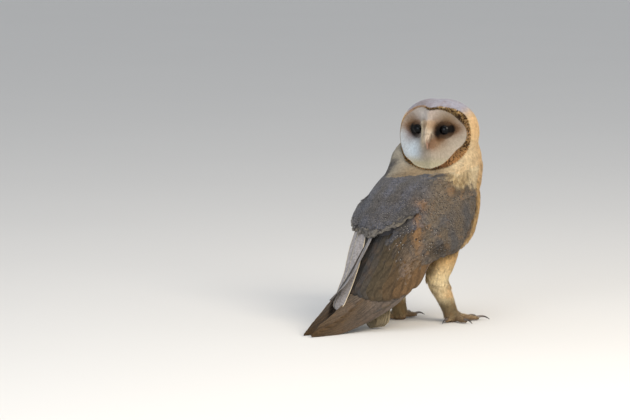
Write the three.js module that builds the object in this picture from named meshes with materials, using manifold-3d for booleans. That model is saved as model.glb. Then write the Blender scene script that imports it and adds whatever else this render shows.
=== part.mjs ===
// Barn owl, dark-breasted form (Tyto alba guttata), life size, as a still display model.
//
// Millimetres, +Z up, the floor is z = 0. The trunk faces -Y, so the owl's right side is -X.
// Surfaces are those of the plumage, out to the feather tips. The bird stands on both feet with
// the right one a step ahead, its wings folded over the tail, and looks back over its right
// shoulder. Toes, claws, tail tip and wing tips rest on small flats at floor level.
import * as THREE from 'three';
import { mergeVertices } from 'three/addons/utils/BufferGeometryUtils.js';
import Module from 'manifold-3d';

const wasm = await Module();
wasm.setup();

// ---- driving dimensions ------------------------------------------------------------------
const GAP = 0.3; // clear space between neighbouring parts
const DEGREE = Math.PI / 180;

const HEAD = {
  centre: [18, 8, 236], // forward, right, up: between nape and face, level with the eyes
  turn: 157 * DEGREE, // from the trunk's heading, over the right shoulder
  back: 46, // centre to nape
};
const DISC = { halfWidth: 44, halfHeight: 38.5, drop: 9, squareness: 2.25, notch: 3, lip: 2 };
const EYE = { radius: 8.6, apart: 34, forward: 21.5 };
const BILL = {
  path: [[26, -1], [36, -4.5], [41, -12.5], [38, -23.5]], // ahead of the centre, above the eyes
  rootRadius: 4.6,
  tipRadius: 0.8,
};

const ANKLE_HEIGHT = 11;
const LEGS = {
  right: { side: 1, hip: [10, 26, 100], hock: [-7, 30, 54], ankle: [18, 30, ANKLE_HEIGHT] },
  left: { side: -1, hip: [-12, -26, 100], hock: [-24, -28, 54], ankle: [-13, -28, ANKLE_HEIGHT] },
};

// ---- small helpers -----------------------------------------------------------------------

/** A point of the owl's own frame: forward, to its right, and up. */
function at(forward, right, up) {
  return new THREE.Vector3(-right, -forward, up);
}

/** Smooth curve of several values through rows of [place, value, value, ...]. */
function through(rows) {
  const slopes = rows.map((row, i) => {
    const before = rows[Math.max(i - 1, 0)];
    const after = rows[Math.min(i + 1, rows.length - 1)];
    return row.map((_, k) => (after[k] - before[k]) / (after[0] - before[0]));
  });
  const heading = Math.sign(rows[1][0] - rows[0][0]);
  return (place) => {
    let i = 0;
    while (i < rows.length - 2 && (place - rows[i + 1][0]) * heading > 0) i += 1;
    const span = rows[i + 1][0] - rows[i][0];
    const s = (place - rows[i][0]) / span;
    return rows[i].slice(1).map((value, k) => {
      const next = rows[i + 1][k + 1];
      const rise = slopes[i][k + 1] * span;
      const nextRise = slopes[i + 1][k + 1] * span;
      const bend = value * (1 + 2 * s) * (1 - s) ** 2 + next * s * s * (3 - 2 * s);
      return bend + rise * s * (1 - s) ** 2 + nextRise * s * s * (s - 1);
    });
  };
}

/** A cosine or sine raised so that the circle it draws grows squarer. */
function squarer(wave, squareness) {
  return Math.sign(wave) * Math.abs(wave) ** (2 / squareness);
}

/** Closed body through rings of equally many points, its two ends closed to their middles. */
function loft(rings) {
  const points = rings.flat();
  const count = rings[0].length;
  const faces = [];
  for (let ring = 0; ring < rings.length - 1; ring += 1) {
    for (let k = 0; k < count; k += 1) {
      const a = ring * count + k;
      const b = ring * count + ((k + 1) % count);
      faces.push(a, b, b + count, a, b + count, a + count);
    }
  }
  const last = (rings.length - 1) * count;
  for (const start of [0, last]) {
    const middle = new THREE.Vector3();
    for (let k = 0; k < count; k += 1) middle.add(points[start + k]);
    points.push(middle.divideScalar(count));
    for (let k = 0; k < count; k += 1) {
      const edge = [start + k, start + ((k + 1) % count)];
      if (start === 0) edge.reverse();
      faces.push(points.length - 1, ...edge);
    }
  }
  return solid(new THREE.BufferGeometry().setFromPoints(points).setIndex(faces));
}

/** A closed geometry as a solid, turned right side out. */
function solid(geometry) {
  const bare = geometry.clone();
  bare.deleteAttribute('normal');
  bare.deleteAttribute('uv');
  const merged = mergeVertices(bare, 1e-4);
  const vertProperties = new Float32Array(merged.attributes.position.array);
  const triVerts = new Uint32Array(merged.index.array);
  if (volume(vertProperties, triVerts) < 0) triVerts.reverse();
  return new wasm.Manifold(new wasm.Mesh({ numProp: 3, vertProperties, triVerts }));
}

/** Six times the volume within a triangle mesh, negative where it is inside out. */
function volume(places, corners) {
  const corner = (i) => new THREE.Vector3().fromArray(places, corners[i] * 3);
  let sum = 0;
  for (let i = 0; i < corners.length; i += 3) {
    sum += corner(i).dot(corner(i + 1).cross(corner(i + 2)));
  }
  return sum;
}

function joined(solids) {
  return solids.reduce((whole, piece) => whole.add(piece));
}

/** The biggest piece of a solid, without the crumbs that a cut can leave. */
function biggest(whole) {
  const bulk = (piece) => {
    const mesh = piece.getMesh();
    return volume(mesh.vertProperties, mesh.triVerts);
  };
  return whole.decompose().reduce((best, piece) => (bulk(piece) > bulk(best) ? piece : best));
}

/** The half of space that a plane's normal points to, as a large block resting on the plane. */
function halfSpace(point, normal, offset = 0) {
  const reach = 400;
  const direction = normal.clone().normalize();
  const turn = new THREE.Quaternion().setFromUnitVectors(new THREE.Vector3(0, 0, 1), direction);
  const middle = point.clone().addScaledVector(direction, reach / 2 + offset);
  const block = new THREE.BoxGeometry(reach, reach, reach);
  block.applyMatrix4(new THREE.Matrix4().compose(middle, turn, new THREE.Vector3(1, 1, 1)));
  return solid(block);
}

/** Parts a solid at a plane with a thin cut: [the side the normal points to, the other side]. */
function parted(whole, point, normal) {
  const ahead = whole.intersect(halfSpace(point, normal, GAP / 2));
  const behind = whole.intersect(halfSpace(point, normal.clone().negate(), GAP / 2));
  return [ahead, behind];
}

/** Rounded limb along a path that keeps square to across; radius is a function of the share. */
function limb(path, radius, across, { steps = 8, sides = 10, flat = 1, grow = 0 } = {}) {
  const curve = new THREE.CatmullRomCurve3(path, false, 'centripetal');
  const rings = [];
  for (let i = 0; i <= steps; i += 1) {
    const share = i / steps;
    const along = curve.getTangent(share);
    const past = { 0: -grow, [steps]: grow }[i] ?? 0;
    const middle = curve.getPoint(share).addScaledVector(along, past);
    const over = new THREE.Vector3().crossVectors(across, along).normalize();
    const reach = radius(share) + grow;
    const ring = [];
    for (let k = 0; k < sides; k += 1) {
      const turn = (2 * Math.PI * k) / sides;
      ring.push(
        middle.clone()
          .addScaledVector(across, reach * Math.cos(turn))
          .addScaledVector(over, (radius(share) * flat + grow) * Math.sin(turn)),
      );
    }
    rings.push(ring);
  }
  return loft(rings);
}

// ---- head --------------------------------------------------------------------------------
const FACE = at(Math.cos(HEAD.turn), Math.sin(HEAD.turn), 0);
const FACE_RIGHT = at(-Math.sin(HEAD.turn), Math.cos(HEAD.turn), 0);
const HEAD_SIDES = 32;
const DISC_RINGS = 7;
const SKULL_RINGS = 9;

/** A point of the head: ahead of its centre, to its own right, and above the eyes' level. */
function inHead(ahead, right, above) {
  return at(...HEAD.centre)
    .addScaledVector(FACE, ahead)
    .addScaledVector(FACE_RIGHT, right)
    .add(at(0, 0, above));
}

/** How far the facial disc stands ahead of the head's centre: dished, with a ridge between. */
function faceDepth(right, above) {
  const middle = above + DISC.drop;
  const dish = 33 - 15 * (Math.abs(right) / DISC.halfWidth) ** 1.2 - 4 * (middle / DISC.halfHeight) ** 2;
  const hollow = 1.6 * Math.exp(-(((Math.abs(right) - 24) / 13) ** 2) - ((above + 6) / 18) ** 2);
  const ridge = 13.5 * Math.exp(-(((above - 1) / 19) ** 2) - (right / 6.5) ** 2);
  return dish - hollow + ridge;
}

/** The rim of the disc at an angle from its top: how far right, and above the eyes. */
function discRim(turn) {
  const up = squarer(Math.cos(turn), DISC.squareness);
  const right = DISC.halfWidth * squarer(Math.sin(turn), DISC.squareness) * (1 + 0.08 * Math.min(up, 0));
  const notch = up > 0 ? DISC.notch * Math.exp(-((right / 8) ** 2)) : 0;
  return [right, DISC.halfHeight * up - DISC.drop - notch];
}

/** One ring of the head: spot gives [ahead, right, above] from the rim's angle, right and above. */
function headRing(spot) {
  const ring = [];
  for (let k = 0; k < HEAD_SIDES; k += 1) {
    const turn = (2 * Math.PI * k) / HEAD_SIDES;
    ring.push(inHead(...spot(turn, ...discRim(turn))));
  }
  return ring;
}

function head() {
  const rings = [];
  for (let i = 1; i <= DISC_RINGS; i += 1) {
    const share = i / DISC_RINGS;
    const lip = i === DISC_RINGS ? DISC.lip : 0;
    rings.push(headRing((turn, right, above) => {
      const up = -DISC.drop + (above + DISC.drop) * share;
      return [faceDepth(right * share, up) + lip, right * share, up];
    }));
  }
  for (let i = 1; i < SKULL_RINGS; i += 1) {
    const share = i / SKULL_RINGS;
    rings.push(headRing((turn, right, above) => {
      const start = -Math.asin((faceDepth(right, above) + DISC.lip) / HEAD.back);
      const bow = start + (Math.PI / 2 - start) * share;
      const fullness = 1.12 - 0.04 * Math.cos(2 * turn);
      const spread = fullness * Math.cos(bow) + (1 - fullness * Math.cos(start)) * (1 - share) ** 2;
      const up = -DISC.drop + (above + DISC.drop) * spread + 5 * share;
      return [-HEAD.back * Math.sin(bow), right * spread, up];
    }));
  }
  return loft(rings);
}

function eye(side, grow = 0) {
  const middle = inHead(EYE.forward, (side * EYE.apart) / 2, 0);
  const ball = new THREE.SphereGeometry(EYE.radius + grow, 12, 8);
  return solid(ball.translate(middle.x, middle.y, middle.z));
}

function bill(grow = 0) {
  const path = BILL.path.map(([ahead, above]) => inHead(ahead, 0, above));
  const radius = (share) => BILL.rootRadius * (1 - share) ** 0.6 + BILL.tipRadius * share;
  return limb(path, radius, FACE_RIGHT, { steps: 7, sides: 12, grow });
}

// ---- trunk and neck ----------------------------------------------------------------------
// Level slices from the nape down to the vent: height, then how far the plumage reaches to the
// front, to the back and to each side of the midline, and how far the slice leans to the right.
const BODY_SLICES = [
  [238, 58, -8, 40, 8],
  [222, 65, -20, 45, 6],
  [206, 73, -34, 52, 3],
  [193, 77, -38, 54, 2],
  [180, 78, -46, 54, 1],
  [165, 78, -66, 55, 0],
  [147, 73.5, -84, 54, 0],
  [132, 68, -95, 51, 0],
  [121, 64, -99, 48, 0],
  [112, 58.5, -88, 46, 0],
  [104, 51.5, -86, 45, 0],
  [95, 42, -85, 42, 0],
  [85, 25, -84, 37, 0],
  [75, 0, -80, 29, 0],
  [68, -25, -75, 20, 0],
  [63, -42, -66, 9, 0],
];
// Under the face the plumage gives way to the disc: height, most it stands ahead of the head.
const COLLAR = [[238, 6], [222, 13], [206, 18], [196, 22], [188, 29], [180, 46], [165, 95], [60, 400]];
const BODY_SIDES = 30;
const BODY_STEPS = 20;
const BODY_SQUARENESS = 2.15;

/** Trunk and neck in one, its surface moved out by grow. */
function body(grow) {
  const slice = through(BODY_SLICES);
  const collar = through(COLLAR);
  const top = BODY_SLICES[0][0];
  const bottom = BODY_SLICES[BODY_SLICES.length - 1][0];
  const rings = [];
  for (let i = 0; i <= BODY_STEPS; i += 1) {
    const height = top + ((bottom - top) * i) / BODY_STEPS;
    const [front, back, side, lean] = slice(height);
    const ring = [];
    for (let k = 0; k < BODY_SIDES; k += 1) {
      const turn = (2 * Math.PI * k) / BODY_SIDES;
      const reach = ((front - back) / 2 + grow) * squarer(Math.cos(turn), BODY_SQUARENESS);
      const out = (side + grow) * squarer(Math.sin(turn), BODY_SQUARENESS);
      const spot = at((front + back) / 2 + reach, lean + out, height);
      const ahead = spot.clone().sub(at(...HEAD.centre)).dot(FACE);
      const excess = Math.max(ahead - collar(height)[0] - grow, 0);
      ring.push(spot.addScaledVector(FACE, -excess));
    }
    rings.push(ring);
  }
  return loft(rings);
}

// The long shoulder feathers of each side lie on the back as a lobe that ends in a soft point.
const SCAPULARS = [[6, 27, 172], [-42, 31, 153], [-76, 28, 134], [-101, 20, 117]];

function scapulars(side, grow = 0) {
  const path = SCAPULARS.map(([forward, right, up]) => at(forward, side * right, up));
  const radius = (share) => 2 + 18 * Math.sin(Math.PI * share ** 0.85) ** 0.8;
  return limb(path, radius, at(0, 1, 0), { steps: 9, sides: 12, flat: 0.42, grow });
}

// ---- wings -------------------------------------------------------------------------------
// Each folded wing is a bowed blade between two edges: the upper one along the back and the
// lower one from the wrist to the tip. Rows: share of the length, then forward, right and up.
const UPPER_EDGE = [
  [0, 50, 34, 178],
  [0.14, 14, 34, 182],
  [0.3, -36, 20, 162],
  [0.45, -72, 7, 132],
  [0.6, -98, 2, 93],
  [0.75, -126, 1.5, 52],
  [0.88, -162, 2, 25],
  [1, -203, 3, 2.5],
];
const LOWER_EDGE = [
  [0, 52, 42, 140],
  [0.14, 33, 52, 108],
  [0.3, 2, 55, 90],
  [0.45, -42, 56, 82],
  [0.6, -77, 46, 43],
  [0.75, -113, 29, 20],
  [0.88, -152, 15, 7],
  [1, -202, 7, 0],
];
// The left wing lies over the right one: share of the length, how far its upper edge is moved
// back and up.
const OVERLAP = [[0, 0, 0], [0.3, 1, 0], [0.45, 5, 0], [0.6, 7, 2], [0.75, 8, 5], [0.88, 6, 8], [1, 0, 0]];
// share of the length, bow of the blade, thickness
const BLADE = [
  [0, 6, 8],
  [0.14, 19, 14],
  [0.3, 21, 16],
  [0.45, 19, 14],
  [0.6, 13, 9],
  [0.75, 8, 6],
  [0.88, 4, 4],
  [1, 0.8, 2],
];
const WING_STEPS = 16;
const WING_ACROSS = 7;
const SECONDARIES_END = 0.76; // share of the length past which only the primaries reach

/** Upper and lower edge of a wing at a share of its length. */
function wingEdges(share, side) {
  const [back, lift] = side < 0 ? through(OVERLAP)(share) : [0, 0];
  const [forward, right, up] = through(UPPER_EDGE)(share);
  const lower = through(LOWER_EDGE)(share);
  return {
    upper: at(forward - back, side * right, up + lift),
    lower: at(lower[0], side * lower[1], lower[2]),
  };
}

function wing(side) {
  const rings = [];
  for (let i = 0; i <= WING_STEPS; i += 1) {
    const share = i / WING_STEPS;
    const { upper, lower } = wingEdges(share, side);
    const [bow, thick] = through(BLADE)(share);
    const near = wingEdges(Math.max(share - 0.02, 0), side);
    const far = wingEdges(Math.min(share + 0.02, 1), side);
    const along = far.upper.clone().add(far.lower).sub(near.upper).sub(near.lower);
    const across = lower.clone().sub(upper);
    const outward = new THREE.Vector3().crossVectors(along, across).normalize().multiplyScalar(side);
    const spot = (u, depth) => upper.clone()
      .addScaledVector(across, u)
      .addScaledVector(outward, bow * Math.sin(Math.PI * u) ** 0.9 - depth);
    const ring = [];
    for (let k = 0; k <= WING_ACROSS; k += 1) ring.push(spot(k / WING_ACROSS, 0));
    for (let k = WING_ACROSS; k >= 0; k -= 1) {
      const u = k / WING_ACROSS;
      ring.push(spot(u, thick * (0.35 + 0.65 * Math.sin(Math.PI * u) ** 0.5)));
    }
    rings.push(ring);
  }
  return loft(rings);
}

// ---- tail --------------------------------------------------------------------------------
const TAIL = {
  path: [[-66, 0, 104], [-86, 2, 52], [-95, 4, -1]],
  halfWidth: [17, 26],
  thickness: [9, 4],
  sway: 6 * DEGREE, // how far it is turned to the right
  roof: 5, // how far its middle stands above its edges
  squareness: 2.6,
};

function tail() {
  const curve = new THREE.CatmullRomCurve3(TAIL.path.map((row) => at(...row)));
  const across = at(-Math.sin(TAIL.sway), Math.cos(TAIL.sway), 0);
  const steps = 10;
  const sides = 16;
  const rings = [];
  for (let i = 0; i <= steps; i += 1) {
    const share = i / steps;
    const middle = curve.getPoint(share);
    const over = new THREE.Vector3().crossVectors(curve.getTangent(share), across).normalize();
    const wide = THREE.MathUtils.lerp(...TAIL.halfWidth, share) * (1 - 0.3 * share ** 10);
    const thick = THREE.MathUtils.lerp(...TAIL.thickness, share) / 2;
    const ring = [];
    for (let k = 0; k < sides; k += 1) {
      const turn = (2 * Math.PI * k) / sides;
      const out = squarer(Math.cos(turn), TAIL.squareness);
      const rise = thick * squarer(Math.sin(turn), TAIL.squareness) - TAIL.roof * (1 - out * out);
      ring.push(middle.clone().addScaledVector(across, wide * out).addScaledVector(over, rise));
    }
    rings.push(ring);
  }
  return loft(rings);
}

// ---- legs and feet -----------------------------------------------------------------------
// Radius of the feathered leg: share of the way from hip to ankle, radius.
const LEG_RADIUS = [[0, 21], [0.3, 18], [0.5, 13.8], [0.75, 11], [1, 8.5]];
// Toes: angle from straight ahead, outward; length without the claw; length of the claw.
const TOES = {
  hallux: { angle: 158, length: 17, claw: 13 },
  inner: { angle: 2, length: 31, claw: 15 },
  middle: { angle: 28, length: 36, claw: 14 },
  outer: { angle: 92, length: 26, claw: 11 },
};
const TOE_RADIUS = { root: 4.6, tip: 3.3, pads: 0.3 };
const FOOT_PAD = { radius: 9, height: 5, flatness: 0.9 }; // a ball flattened, its middle's height
const CLAW_RADIUS = { root: 2.3, tip: 0.4 };

function leg({ hip, hock, ankle }) {
  const knee = hip.map((value, k) => value + (hock[k] - value) * 0.45);
  const shin = hock.map((value, k) => value + (ankle[k] - value) * 0.5);
  const sole = [ankle[0] + 1, ankle[1], ankle[2] - 4];
  const path = [hip, knee, hock, shin, sole].map((row) => at(...row));
  const radius = through(LEG_RADIUS);
  return limb(path, (share) => radius(share)[0], at(0, 1, 0), { steps: 12, sides: 14 });
}

/** A function that gives the points of a toe's line from the distance out and the height. */
function toeLine({ side, ankle }, toe) {
  const angle = toe.angle * DEGREE;
  return (distance, up) => at(
    ankle[0] + distance * Math.cos(angle),
    ankle[1] + side * distance * Math.sin(angle),
    up,
  );
}

function toeAcross({ side }, toe) {
  const angle = toe.angle * DEGREE;
  return at(-Math.sin(angle), side * Math.cos(angle), 0);
}

function toes(legPlan) {
  const pieces = Object.values(TOES).map((toe) => {
    const spot = toeLine(legPlan, toe);
    const end = toe.length;
    const path = [spot(0, 9), spot(end * 0.35, 6.2), spot(end * 0.7, 3.6), spot(end, 3.4)];
    const radius = (share) => THREE.MathUtils.lerp(TOE_RADIUS.root, TOE_RADIUS.tip, share)
      + TOE_RADIUS.pads * Math.cos(4 * Math.PI * share) - (share > 0.99 ? 1 : 0);
    return limb(path, radius, toeAcross(legPlan, toe), { steps: 5, sides: 7 });
  });
  const [forward, right] = legPlan.ankle;
  const middle = at(forward, right, FOOT_PAD.height);
  const pad = new THREE.SphereGeometry(FOOT_PAD.radius, 12, 6).scale(1, 1, FOOT_PAD.flatness);
  return joined([...pieces, solid(pad.translate(middle.x, middle.y, middle.z))]);
}

function claw(legPlan, toe, grow = 0) {
  const spot = toeLine(legPlan, toe);
  const end = toe.length;
  const path = [
    spot(end - 2.5, 3.8),
    spot(end + toe.claw * 0.3, 5.2),
    spot(end + toe.claw * 0.7, 3.8),
    spot(end + toe.claw * 0.92, 0.2),
  ];
  const radius = (share) => THREE.MathUtils.lerp(CLAW_RADIUS.root, CLAW_RADIUS.tip, share);
  return limb(path, radius, toeAcross(legPlan, toe), { steps: 5, sides: 6, grow });
}

// ---- the whole bird, parted --------------------------------------------------------------
const COLOURS = {
  crown: '#b3a99c',
  ruff: '#c9ae7d',
  slate: '#6d675f',
  tailBrown: '#8a7355',
  buff: '#cfae78',
  shank: '#d6c4a0',
  toe: '#8d7b6f',
  horn: '#3b2f29',
  eye: '#0b0908',
  bill: '#d3b3a0',
};

const owl = new THREE.Group();

function add(name, shape, colour, roughness = 0.9) {
  const mesh = biggest(shape).getMesh();
  const geometry = new THREE.BufferGeometry();
  geometry.setAttribute('position', new THREE.BufferAttribute(new Float32Array(mesh.vertProperties), 3));
  geometry.setIndex(new THREE.BufferAttribute(new Uint32Array(mesh.triVerts), 1));
  geometry.computeVertexNormals();
  const material = new THREE.MeshStandardMaterial({ color: COLOURS[colour], roughness, metalness: 0 });
  const part = new THREE.Mesh(geometry, material);
  part.name = name;
  owl.add(part);
}

const aboveFloor = halfSpace(at(0, 0, 0), at(0, 0, 1));

// Head, neck and trunk are one body, cut through under the chin and across the shoulders.
const torso = joined([body(0), scapulars(1), scapulars(-1)]);
const torsoSpace = joined([body(GAP), scapulars(1, GAP), scapulars(-1, GAP), head()]);
const THROAT = { point: at(10, 4, 190), normal: at(-0.2, 0, 1) };
const SHOULDERS = { point: at(0, 0, 168), normal: at(-0.1, 0, 1) };
const [headPart, belowHead] = parted(joined([torso, head()]), THROAT.point, THROAT.normal);
const [neckPart, trunkPart] = parted(belowHead, SHOULDERS.point, SHOULDERS.normal);
add('head', headPart.subtract(joined([eye(1, GAP), eye(-1, GAP), bill(GAP)])), 'crown');
add('neck', neckPart, 'ruff');
add('trunk', trunkPart, 'slate');
add('bill', bill(), 'bill', 0.4);
add('eye_right', eye(1), 'eye', 0.05);
add('eye_left', eye(-1), 'eye', 0.05);

// Each wing is cut where the secondaries end; past that only the primaries go on to the tip.
const wings = { right: wing(1), left: wing(-1) };
for (const { name, side } of [{ name: 'right', side: 1 }, { name: 'left', side: -1 }]) {
  const ownSide = halfSpace(at(0, 0, 0), at(0, side, 0), GAP / 2);
  const folded = wings[name].subtract(torsoSpace).intersect(aboveFloor).intersect(ownSide);
  const { upper, lower } = wingEdges(SECONDARIES_END, side);
  const cut = upper.add(lower).multiplyScalar(0.5);
  const [tip, arm] = parted(folded, cut, at(-1, -0.25 * side, -0.75));
  add(`wing_${name}`, arm, 'slate');
  add(`primaries_${name}`, tip, 'slate');
}

const wingSpace = joined([wings.right, wings.left]);
add('tail', tail().subtract(joined([torsoSpace, wingSpace])).intersect(aboveFloor), 'tailBrown');

for (const [name, plan] of Object.entries(LEGS)) {
  const clawSpace = joined(Object.values(TOES).map((toe) => claw(plan, toe, GAP)));
  const whole = joined([leg(plan), toes(plan)])
    .subtract(joined([torsoSpace, wingSpace, clawSpace]))
    .intersect(aboveFloor);
  const [thigh, shank] = parted(whole, at(...plan.hock), at(0.35, 0, 1));
  const [tarsus, foot] = parted(shank, at(...plan.ankle), at(-0.3, 0, 1));
  add(`thigh_${name}`, thigh, 'buff');
  add(`tarsus_${name}`, tarsus, 'shank');
  add(`foot_${name}`, foot, 'toe');
  for (const [toeName, toe] of Object.entries(TOES)) {
    add(`claw_${toeName}_${name}`, claw(plan, toe).intersect(aboveFloor), 'horn', 0.35);
  }
}

// The origin is at floor level, under the middle of the whole bird.
const extent = new THREE.Box3().setFromObject(owl);
const middle = extent.getCenter(new THREE.Vector3());
owl.position.set(-middle.x, -middle.y, 0);

export default owl;
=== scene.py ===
"""The looks of a barn owl, dark-breasted form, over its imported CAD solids.

One skin stands for all the flesh and lies inside the solids by the coat's depth. Over it lie
feathers as solid mesh: soft ones with loose barbs, vanes for back and coverts, long quills for
wings and tail, bristles on face and toes, scutes on the toes. Eyes, lids, bill and claws are
pieces of their own. Lengths are metres unless a name ends in _MM or a comment says otherwise.
"""

import math

import bpy
import numpy as np
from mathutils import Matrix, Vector
from mathutils.bvhtree import BVHTree
from mathutils.kdtree import KDTree


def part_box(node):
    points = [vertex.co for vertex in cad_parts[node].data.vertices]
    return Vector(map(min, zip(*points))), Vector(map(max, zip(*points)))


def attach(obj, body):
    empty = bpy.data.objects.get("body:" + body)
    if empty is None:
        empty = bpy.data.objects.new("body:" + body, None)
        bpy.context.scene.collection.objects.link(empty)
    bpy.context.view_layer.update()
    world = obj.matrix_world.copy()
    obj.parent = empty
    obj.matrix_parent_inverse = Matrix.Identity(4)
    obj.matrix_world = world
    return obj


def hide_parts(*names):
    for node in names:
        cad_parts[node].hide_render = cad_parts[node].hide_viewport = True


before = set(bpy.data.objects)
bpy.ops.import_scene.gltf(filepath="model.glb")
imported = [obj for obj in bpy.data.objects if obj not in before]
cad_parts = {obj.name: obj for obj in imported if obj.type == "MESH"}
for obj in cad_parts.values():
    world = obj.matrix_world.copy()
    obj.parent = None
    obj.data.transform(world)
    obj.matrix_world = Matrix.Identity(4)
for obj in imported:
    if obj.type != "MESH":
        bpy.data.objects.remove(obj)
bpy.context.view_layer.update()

MM = 0.001
FLOOR_GAP = 0.0001  # nothing visible reaches lower than this
PATCH = 0.003  # a feather's patch on the unwrap
RANDOM = np.random.default_rng(11)
SIDES = {"right": 1, "left": -1}
FLESH = ["head", "neck", "trunk", "wing_right", "wing_left"]
FLESH += [f"{part}_{side}" for part in ("thigh", "tarsus", "foot") for side in SIDES]


# ---- arithmetic on arrays of points ---------------------------------------------------------
def unit(v):
    """Vectors of length one."""
    v = np.asarray(v, float)
    return v / np.maximum(np.linalg.norm(v, axis=-1, keepdims=True), 1e-12)


def dot(a, b):
    return np.sum(np.asarray(a) * np.asarray(b), axis=-1)


def step(low, high, x):
    """0 below low, 1 above high, and smooth between."""
    t = np.clip((np.asarray(x, float) - low) / (high - low), 0, 1)
    return t * t * (3 - 2 * t)


def blot(x, y, centre, radii, tilt=0.0):
    """A soft spot in a plane: 1 at its centre, falling off over its two radii."""
    c, s = math.cos(math.radians(tilt)), math.sin(math.radians(tilt))
    dx, dy = x - centre[0], y - centre[1]
    return np.exp(-(((dx * c + dy * s) / radii[0]) ** 2 + ((dy * c - dx * s) / radii[1]) ** 2))


def mixed(a, b, share):
    """Colours a blended towards b by a share for each."""
    share = np.asarray(share)[..., None]
    return np.asarray(a) * (1 - share) + np.asarray(b) * share


def painted(colour, *layers):
    """A colour under layers of others, each given with its share."""
    for tone, share in layers:
        colour = mixed(colour, tone, share)
    return colour


def srgb(r, g, b):
    """A colour given as on a screen, 0 to 255, as linear light."""
    c = np.array([r, g, b]) / 255
    return np.where(c <= 0.04045, c / 12.92, ((c + 0.055) / 1.055) ** 2.4)


def through(rows, x):
    """Smooth curve of several values through rows of [place, value, value, ...]."""
    rows = np.array(rows, float)
    places, values = rows[:, 0], rows[:, 1:]
    last = len(rows) - 1
    before, after = np.maximum(np.arange(last + 1) - 1, 0), np.minimum(np.arange(last + 1) + 1, last)
    slopes = (values[after] - values[before]) / (places[after] - places[before])[:, None]
    x = np.atleast_1d(np.asarray(x, float))
    i = np.clip(np.searchsorted(places, x, side="right") - 1, 0, last - 1)
    span = (places[i + 1] - places[i])[:, None]
    t = np.clip((x - places[i])[:, None] / span, 0, 1)
    bend = (1 + 2 * t) * (1 - t) ** 2 * values[i] + t * t * (3 - 2 * t) * values[i + 1]
    return bend + span * (t * (1 - t) ** 2 * slopes[i] + t * t * (t - 1) * slopes[i + 1])


def smooth_noise(points, size, seed=0):
    """Soft mottling over space, about -1 to 1, made of a few waves of the given size."""
    waves = np.random.default_rng(100 + seed)
    total = np.zeros(len(points))
    for _ in range(9):
        direction = unit(waves.normal(size=3))
        wave = waves.uniform(0.7, 1.5) * 2 * math.pi / size
        total += np.sin(points @ direction * wave + waves.uniform(0, 2 * math.pi))
    return total / 3.2


# ---- the owl's own frame --------------------------------------------------------------------
def centre(node):
    low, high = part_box(node)
    return (np.array(low) + np.array(high)) / 2


UP = np.array([0.0, 0.0, 1.0])
EYE_AT = {side: centre(f"eye_{side}") for side in SIDES}
EYE_RADIUS = float(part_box("eye_right")[1].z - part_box("eye_right")[0].z) / 2
FACE_RIGHT = unit(EYE_AT["right"] - EYE_AT["left"])
FACE = np.cross(UP, FACE_RIGHT)
EYES_AHEAD_MM = 21.5  # the eyes' middles, ahead of the head's centre
EYES_OUT_MM = float(np.linalg.norm(EYE_AT["right"] - EYE_AT["left"])) / 2 / MM
HEAD = (EYE_AT["right"] + EYE_AT["left"]) / 2 - FACE * EYES_AHEAD_MM * MM
HEAD_MM = (18, 8, 236)  # the head's centre, forward, right and up in the owl's frame
ORIGIN = HEAD - np.array([-HEAD_MM[1], -HEAD_MM[0], HEAD_MM[2]]) * MM
FORWARD = np.array([0.0, -1.0, 0.0])
RIGHT = np.array([-1.0, 0.0, 0.0])


def at(forward, right, up):
    """A point of the owl's own frame, in millimetres: forward, to its right, and up."""
    return ORIGIN + np.stack(np.broadcast_arrays(-np.asarray(right), -np.asarray(forward), up), -1) * MM


def owl_mm(points):
    """Forward, right and up of points in the owl's own frame, in millimetres."""
    q = (points - ORIGIN) / MM
    return -q[..., 1], -q[..., 0], q[..., 2]


def head_mm(points):
    """Ahead, right and above of points in the head's frame, in millimetres."""
    q = (points - HEAD) / MM
    return dot(q, FACE), dot(q, FACE_RIGHT), q[..., 2]


def in_head(ahead, right, above):
    """A point of the head, in millimetres from its centre."""
    ahead, right, above = (np.asarray(v, float)[..., None] for v in (ahead, right, above))
    return HEAD + (FACE * ahead + FACE_RIGHT * right + UP * above) * MM


# ---- facial disc ----------------------------------------------------------------------------
DISC = {"half_width": 44.0, "half_height": 38.5, "drop": 9.0, "squareness": 2.25, "notch": 3.0}
DISC_FROM_MM = 7  # the disc lies further ahead than this in the head's frame
# The photo's disc reaches further out or in than that oval: degrees from the top, share.
DISC_REACH = [
    [-180, 1.02], [-157, 1.04], [-131, 1.08], [-110, 1.04], [-92, 1.0], [-58, 0.98], [-20, 0.97],
    [0, 0.955], [20, 0.945], [40, 0.99], [67, 1.01], [90, 1.0], [112, 0.98], [140, 0.96], [163, 0.99],
    [180, 1.02],
]


def disc_turn(right, above):
    """The angle of a place round the disc, in degrees from its top towards the head's left."""
    return np.degrees(np.arctan2(-right / DISC["half_width"], (above + DISC["drop"]) / DISC["half_height"]))


def disc_share(right, above):
    """How far out in the disc a place is: 0 at its middle, 1 at its rim."""
    notch = DISC["notch"] * np.exp(-((right / 8) ** 2)) * (above > -DISC["drop"])
    up = (above + DISC["drop"] + notch) / DISC["half_height"]
    side = right / DISC["half_width"] / (1 + 0.08 * np.minimum(up, 0))
    n = DISC["squareness"]
    reach = through(DISC_REACH, np.ravel(disc_turn(right, above)))[:, 0].reshape(np.shape(right))
    return (np.abs(up) ** n + np.abs(side) ** n) ** (1 / n) / reach


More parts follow.
